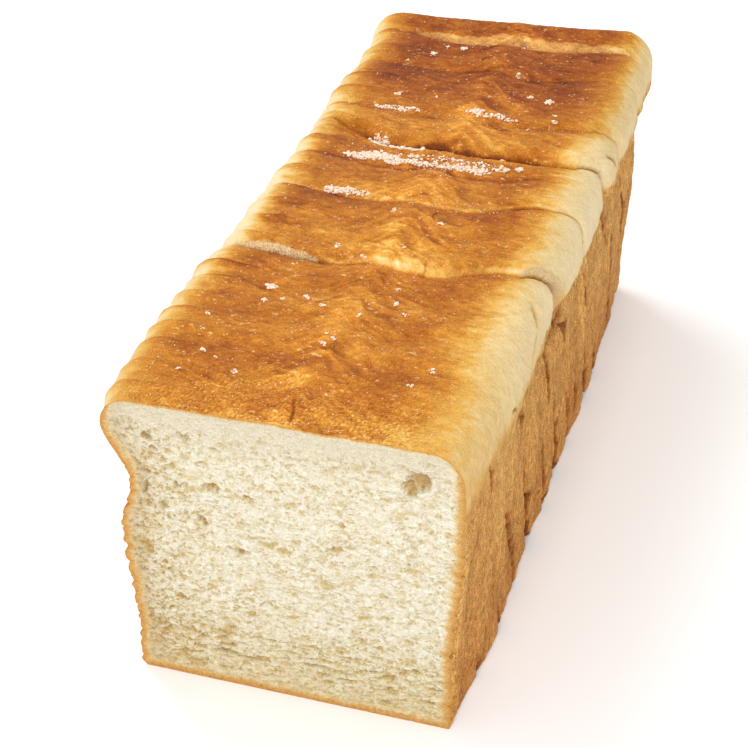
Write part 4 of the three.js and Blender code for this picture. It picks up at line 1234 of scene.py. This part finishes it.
# light below: painted light on raised relief and painted shade in hollows, from the relief mark and
# from the same noise as the bumps, with some random flecks
variation = 0.0
for part, share in ((mottle, 0.2), (grain, 1.0), (specks, 2.0)):
    variation = add(tree, "Math", {0: part, 1: share, 2: variation}, operation="MULTIPLY_ADD")
baked = add(tree, "MapRange", {"Value": brown, "From Min": 0.14, "From Max": 0.45, "To Min": 0.15})
on_wall = add(tree, "Math", {0: wall, 1: 1.6}, operation="MULTIPLY")
rough_share = add(tree, "Math", {0: baked, 1: on_wall}, operation="MAXIMUM")
light = 1.0
for part, share in ((relief_shading, 0.34), (variation, rough_share)):
    light = add(tree, "Math", {0: part, 1: share, 2: light}, operation="MULTIPLY_ADD")
crust_colour = add(
    tree, "Mix", {0: 1.0, 6: skin_colour, 7: light}, blend_type="MULTIPLY", **COLOURS)

# %% Gloss and bumps of the crust
dull = add(tree, "MapRange", {"Value": wall, "To Min": 0.50, "To Max": 0.75})
dull_bare = add(tree, "Mix", {0: bare, 2: dull, 3: 0.9})
bumps = grain
for part, share in ((specks, 0.9), (crumbs, 0.8)):
    bumps = add(tree, "Math", {0: part, 1: share, 2: bumps}, operation="MULTIPLY_ADD")
bump = add(tree, "Bump", {"Height": bumps, "Strength": 0.9, "Distance": 0.6 * MM})
shader = add(tree, "BsdfPrincipled", {
    "Base Color": crust_colour, "Roughness": dull_bare, "IOR": 1.45, "Specular IOR Level": 0.15,
    "Normal": bump})
add(tree, "OutputMaterial", {"Surface": shader})

# %% [markdown]
# ### Crumb
# Crumb is a dry foam of starch: matte, cream where the cell walls stand up, and yellower and
# darker in the pits, a painted shade for the light that bounces from wall to wall there. Light
# also goes a little way in, which a small subsurface share gives. The marks on the vertices
# place the pits, the crust ring, the greyer band under the top and a painted shade along the
# left edge, and a fine noise adds the cells that are too small for the mesh, as bumps and as
# painted shade.

# %% Crumb
RING_COLOURS = [
    (0.0, "#EADDBC"), (0.25, "#E2C892"), (0.55, "#DAAE6C"), (0.8, "#D29C56"), (1.0, "#CB9048")]
# the darker, yellower pit colours are painted shade in the pits
CRUMB_COLOURS = [(0.0, "#EFE7D4"), (0.3, "#E6DABA"), (0.6, "#D8C08A"), (1.0, "#B88E4C")]
# the left one is painted shade along the left edge of the cut
CRUMB_SHADES = [
    ("foot_shade", 0.48, "#E0C78E"), ("left_painted_shade", 0.75, "#C8A974"),
    ("top_shade", 0.65, "#D2C4A4")]
crumb_material, tree = new_material("white_crumb")
place = add(tree, "TexCoord", out="Object")
marks = {mark: add(tree, "Attribute", out="Fac", attribute_name=mark) for mark in crumb.marks}
cells, fine_cells = pattern(tree, place, (1.3, 1, 1), 0.8), pattern(tree, place, (1, 1, 1), 0.55, 2)
pit = add(tree, "Math", {0: cells, 1: 0.5, 2: marks["pit"]}, operation="MULTIPLY_ADD")
tinted = add(tree, "ValToRGB", {"Fac": pit}, stops=CRUMB_COLOURS)
for mark, share, colour in CRUMB_SHADES:
    amount = add(tree, "Math", {0: marks[mark], 1: share}, operation="MULTIPLY")
    tinted = add(tree, "Mix", {0: amount, 6: tinted, 7: linear(colour)}, **COLOURS)
ring_edge = add(tree, "Math", {0: cells, 1: 0.55, 2: marks["ring"]}, operation="MULTIPLY_ADD")
ring_colour = add(tree, "ValToRGB", {"Fac": ring_edge}, stops=RING_COLOURS)
ring_amount = add(tree, "MapRange", {"Value": ring_edge, "From Min": 0.0, "From Max": 0.45})
ringed = add(tree, "Mix", {0: ring_amount, 6: tinted, 7: ring_colour}, **COLOURS)
# light: painted shade in the small cells and along the streaks
light, hollows = 1.0, 0.0
for part, share in ((marks["streak"], -0.05), (cells, -0.4), (fine_cells, -0.65)):
    light = add(tree, "Math", {0: part, 1: share, 2: light}, operation="MULTIPLY_ADD")
for part, share in ((fine_cells, -0.7), (cells, -1.0)):
    hollows = add(tree, "Math", {0: part, 1: share, 2: hollows}, operation="MULTIPLY_ADD")
crumb_colour = add(tree, "Mix", {0: 1.0, 6: ringed, 7: light}, blend_type="MULTIPLY", **COLOURS)
bump = add(tree, "Bump", {"Height": hollows, "Strength": 1.0, "Distance": 1.0 * MM})
shader = add(tree, "BsdfPrincipled", {
    "Base Color": crumb_colour, "Roughness": 0.92, "IOR": 1.4, "Specular IOR Level": 0.2,
    "Normal": bump, "Subsurface Weight": 0.05, "Subsurface Radius": (1.0, 0.8, 0.5),
    "Subsurface Scale": 0.8 * MM})
add(tree, "OutputMaterial", {"Surface": shader})

# %% [markdown]
# ### Salt
# Salt crystals are clear, but a baked flake is full of cracks and air, so it looks white,
# with small bright facets. Its colour is made a little warm as painted light from the crust
# under it.

# %% Salt
salt_material, tree = new_material("coarse_salt")
place = add(tree, "TexCoord", out="Object")
cloud = add(tree, "TexNoise", {"Vector": place, "Scale": 1 / (1.2 * MM), "Detail": 2})
salt_colour = add(tree, "ValToRGB", {"Fac": cloud}, stops=[(0.3, "#E6C6A6"), (0.7, "#F8E6D4")])
shader = add(tree, "BsdfPrincipled", {
    "Base Color": salt_colour, "Roughness": 0.38, "IOR": 1.54, "Subsurface Weight": 0.3,
    "Subsurface Radius": (1.0, 0.9, 0.8), "Subsurface Scale": 0.6 * MM})
add(tree, "OutputMaterial", {"Surface": shader})

# %% [markdown]
# ## Handing the pieces to the frame
# Each piece takes its finish, rides on the loaf's only body, and stands for the imported solid,
# which is hidden.

# %% Ride and replace
salt_pieces = [salt_flakes, salt_grains]
for pieces, material, slot in (
        (crust_pieces, crust_material, "crust"), ([crumb_piece], crumb_material, "crumb"),
        (salt_pieces, salt_material, "salt")):
    for piece in pieces:
        piece.data.materials.append(material)
        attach(piece, "root")
        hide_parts("loaf")

# %% [markdown]
# ## Table, light and camera
# A plain pale table, light from a white room, a soft lamp high behind on the left, like a
# window, which brings out the folds of the crust, and another as large in front of the cut.
# The camera looks down at the cut end from the front right, with a long lens.

# %% Table and light
HALF_TABLE, ROOM_STRENGTH = 3.0, 0.67
scene = bpy.context.scene
table_mesh = bpy.data.meshes.new("table")
table_mesh.from_pydata([(HALF_TABLE * x, HALF_TABLE * y, 0) for x, y in (
    (-1, -1), (1, -1), (1, 1), (-1, 1))], [], [(0, 1, 2, 3)])
table = bpy.data.objects.new("table", table_mesh)
scene.collection.objects.link(table)
table_material, tree = new_material("pale_table")
shader = add(tree, "BsdfPrincipled", {"Base Color": linear("#FAFAFA"), "Roughness": 0.9})
add(tree, "OutputMaterial", {"Surface": shader})
table_mesh.materials.append(table_material)

scene.view_settings.view_transform = "Standard"
room = bpy.data.worlds.new("white_room")
room.use_nodes = True
background = room.node_tree.nodes["Background"].inputs
background["Color"].default_value = (1, 1, 1, 1)
background["Strength"].default_value = ROOM_STRENGTH
scene.world = room

# %% Soft lamps
LAMPS = [("window_lamp", 14, (-0.8, 0.75, 1.3)), ("front_lamp", 16, (0.3, -1.3, 1.0))]
LAMP_SIZE, LAMP_TARGET = 0.7, Vector((0, 0, 0.06))
for name, watts, spot in LAMPS:
    lamp = bpy.data.lights.new(name, "AREA")
    lamp.size, lamp.energy = LAMP_SIZE, watts
    lamp_object = bpy.data.objects.new(name, lamp)
    scene.collection.objects.link(lamp_object)
    lamp_object.location = spot
    lamp_object.rotation_euler = (LAMP_TARGET - Vector(spot)).to_track_quat("-Z", "Y").to_euler()
print("lamps:", ", ".join(f"{name} {watts} W" for name, watts, _ in LAMPS))

# %% Camera
CAMERA_TURN, CAMERA_RISE, CAMERA_ROLL = (math.radians(a) for a in (19.53, 35.1, -2.33))
CAMERA_DISTANCE, CAMERA_TARGET = 0.70005, Vector((0.00139, -0.06554, 0.0766))
SENSOR, IMAGE, FOCAL_PIXELS = 36, 748, 1797
backwards = Vector((math.sin(CAMERA_TURN) * math.cos(CAMERA_RISE),
                    -math.cos(CAMERA_TURN) * math.cos(CAMERA_RISE), math.sin(CAMERA_RISE)))
level = (-backwards).cross(Vector((0, 0, 1))).normalized()
upwards = level.cross(-backwards)
right_hand = level * math.cos(CAMERA_ROLL) + upwards * math.sin(CAMERA_ROLL)
overhead = upwards * math.cos(CAMERA_ROLL) - level * math.sin(CAMERA_ROLL)
camera_data = bpy.data.cameras.new("camera")
camera_data.sensor_width, camera_data.lens = SENSOR, SENSOR * FOCAL_PIXELS / IMAGE
camera_data.clip_start = 0.01
camera = bpy.data.objects.new("camera", camera_data)
stand = Matrix((right_hand, overhead, backwards)).transposed().to_4x4()
stand.translation = CAMERA_TARGET + backwards * CAMERA_DISTANCE
camera.matrix_world = stand
scene.collection.objects.link(camera)
scene.camera = camera
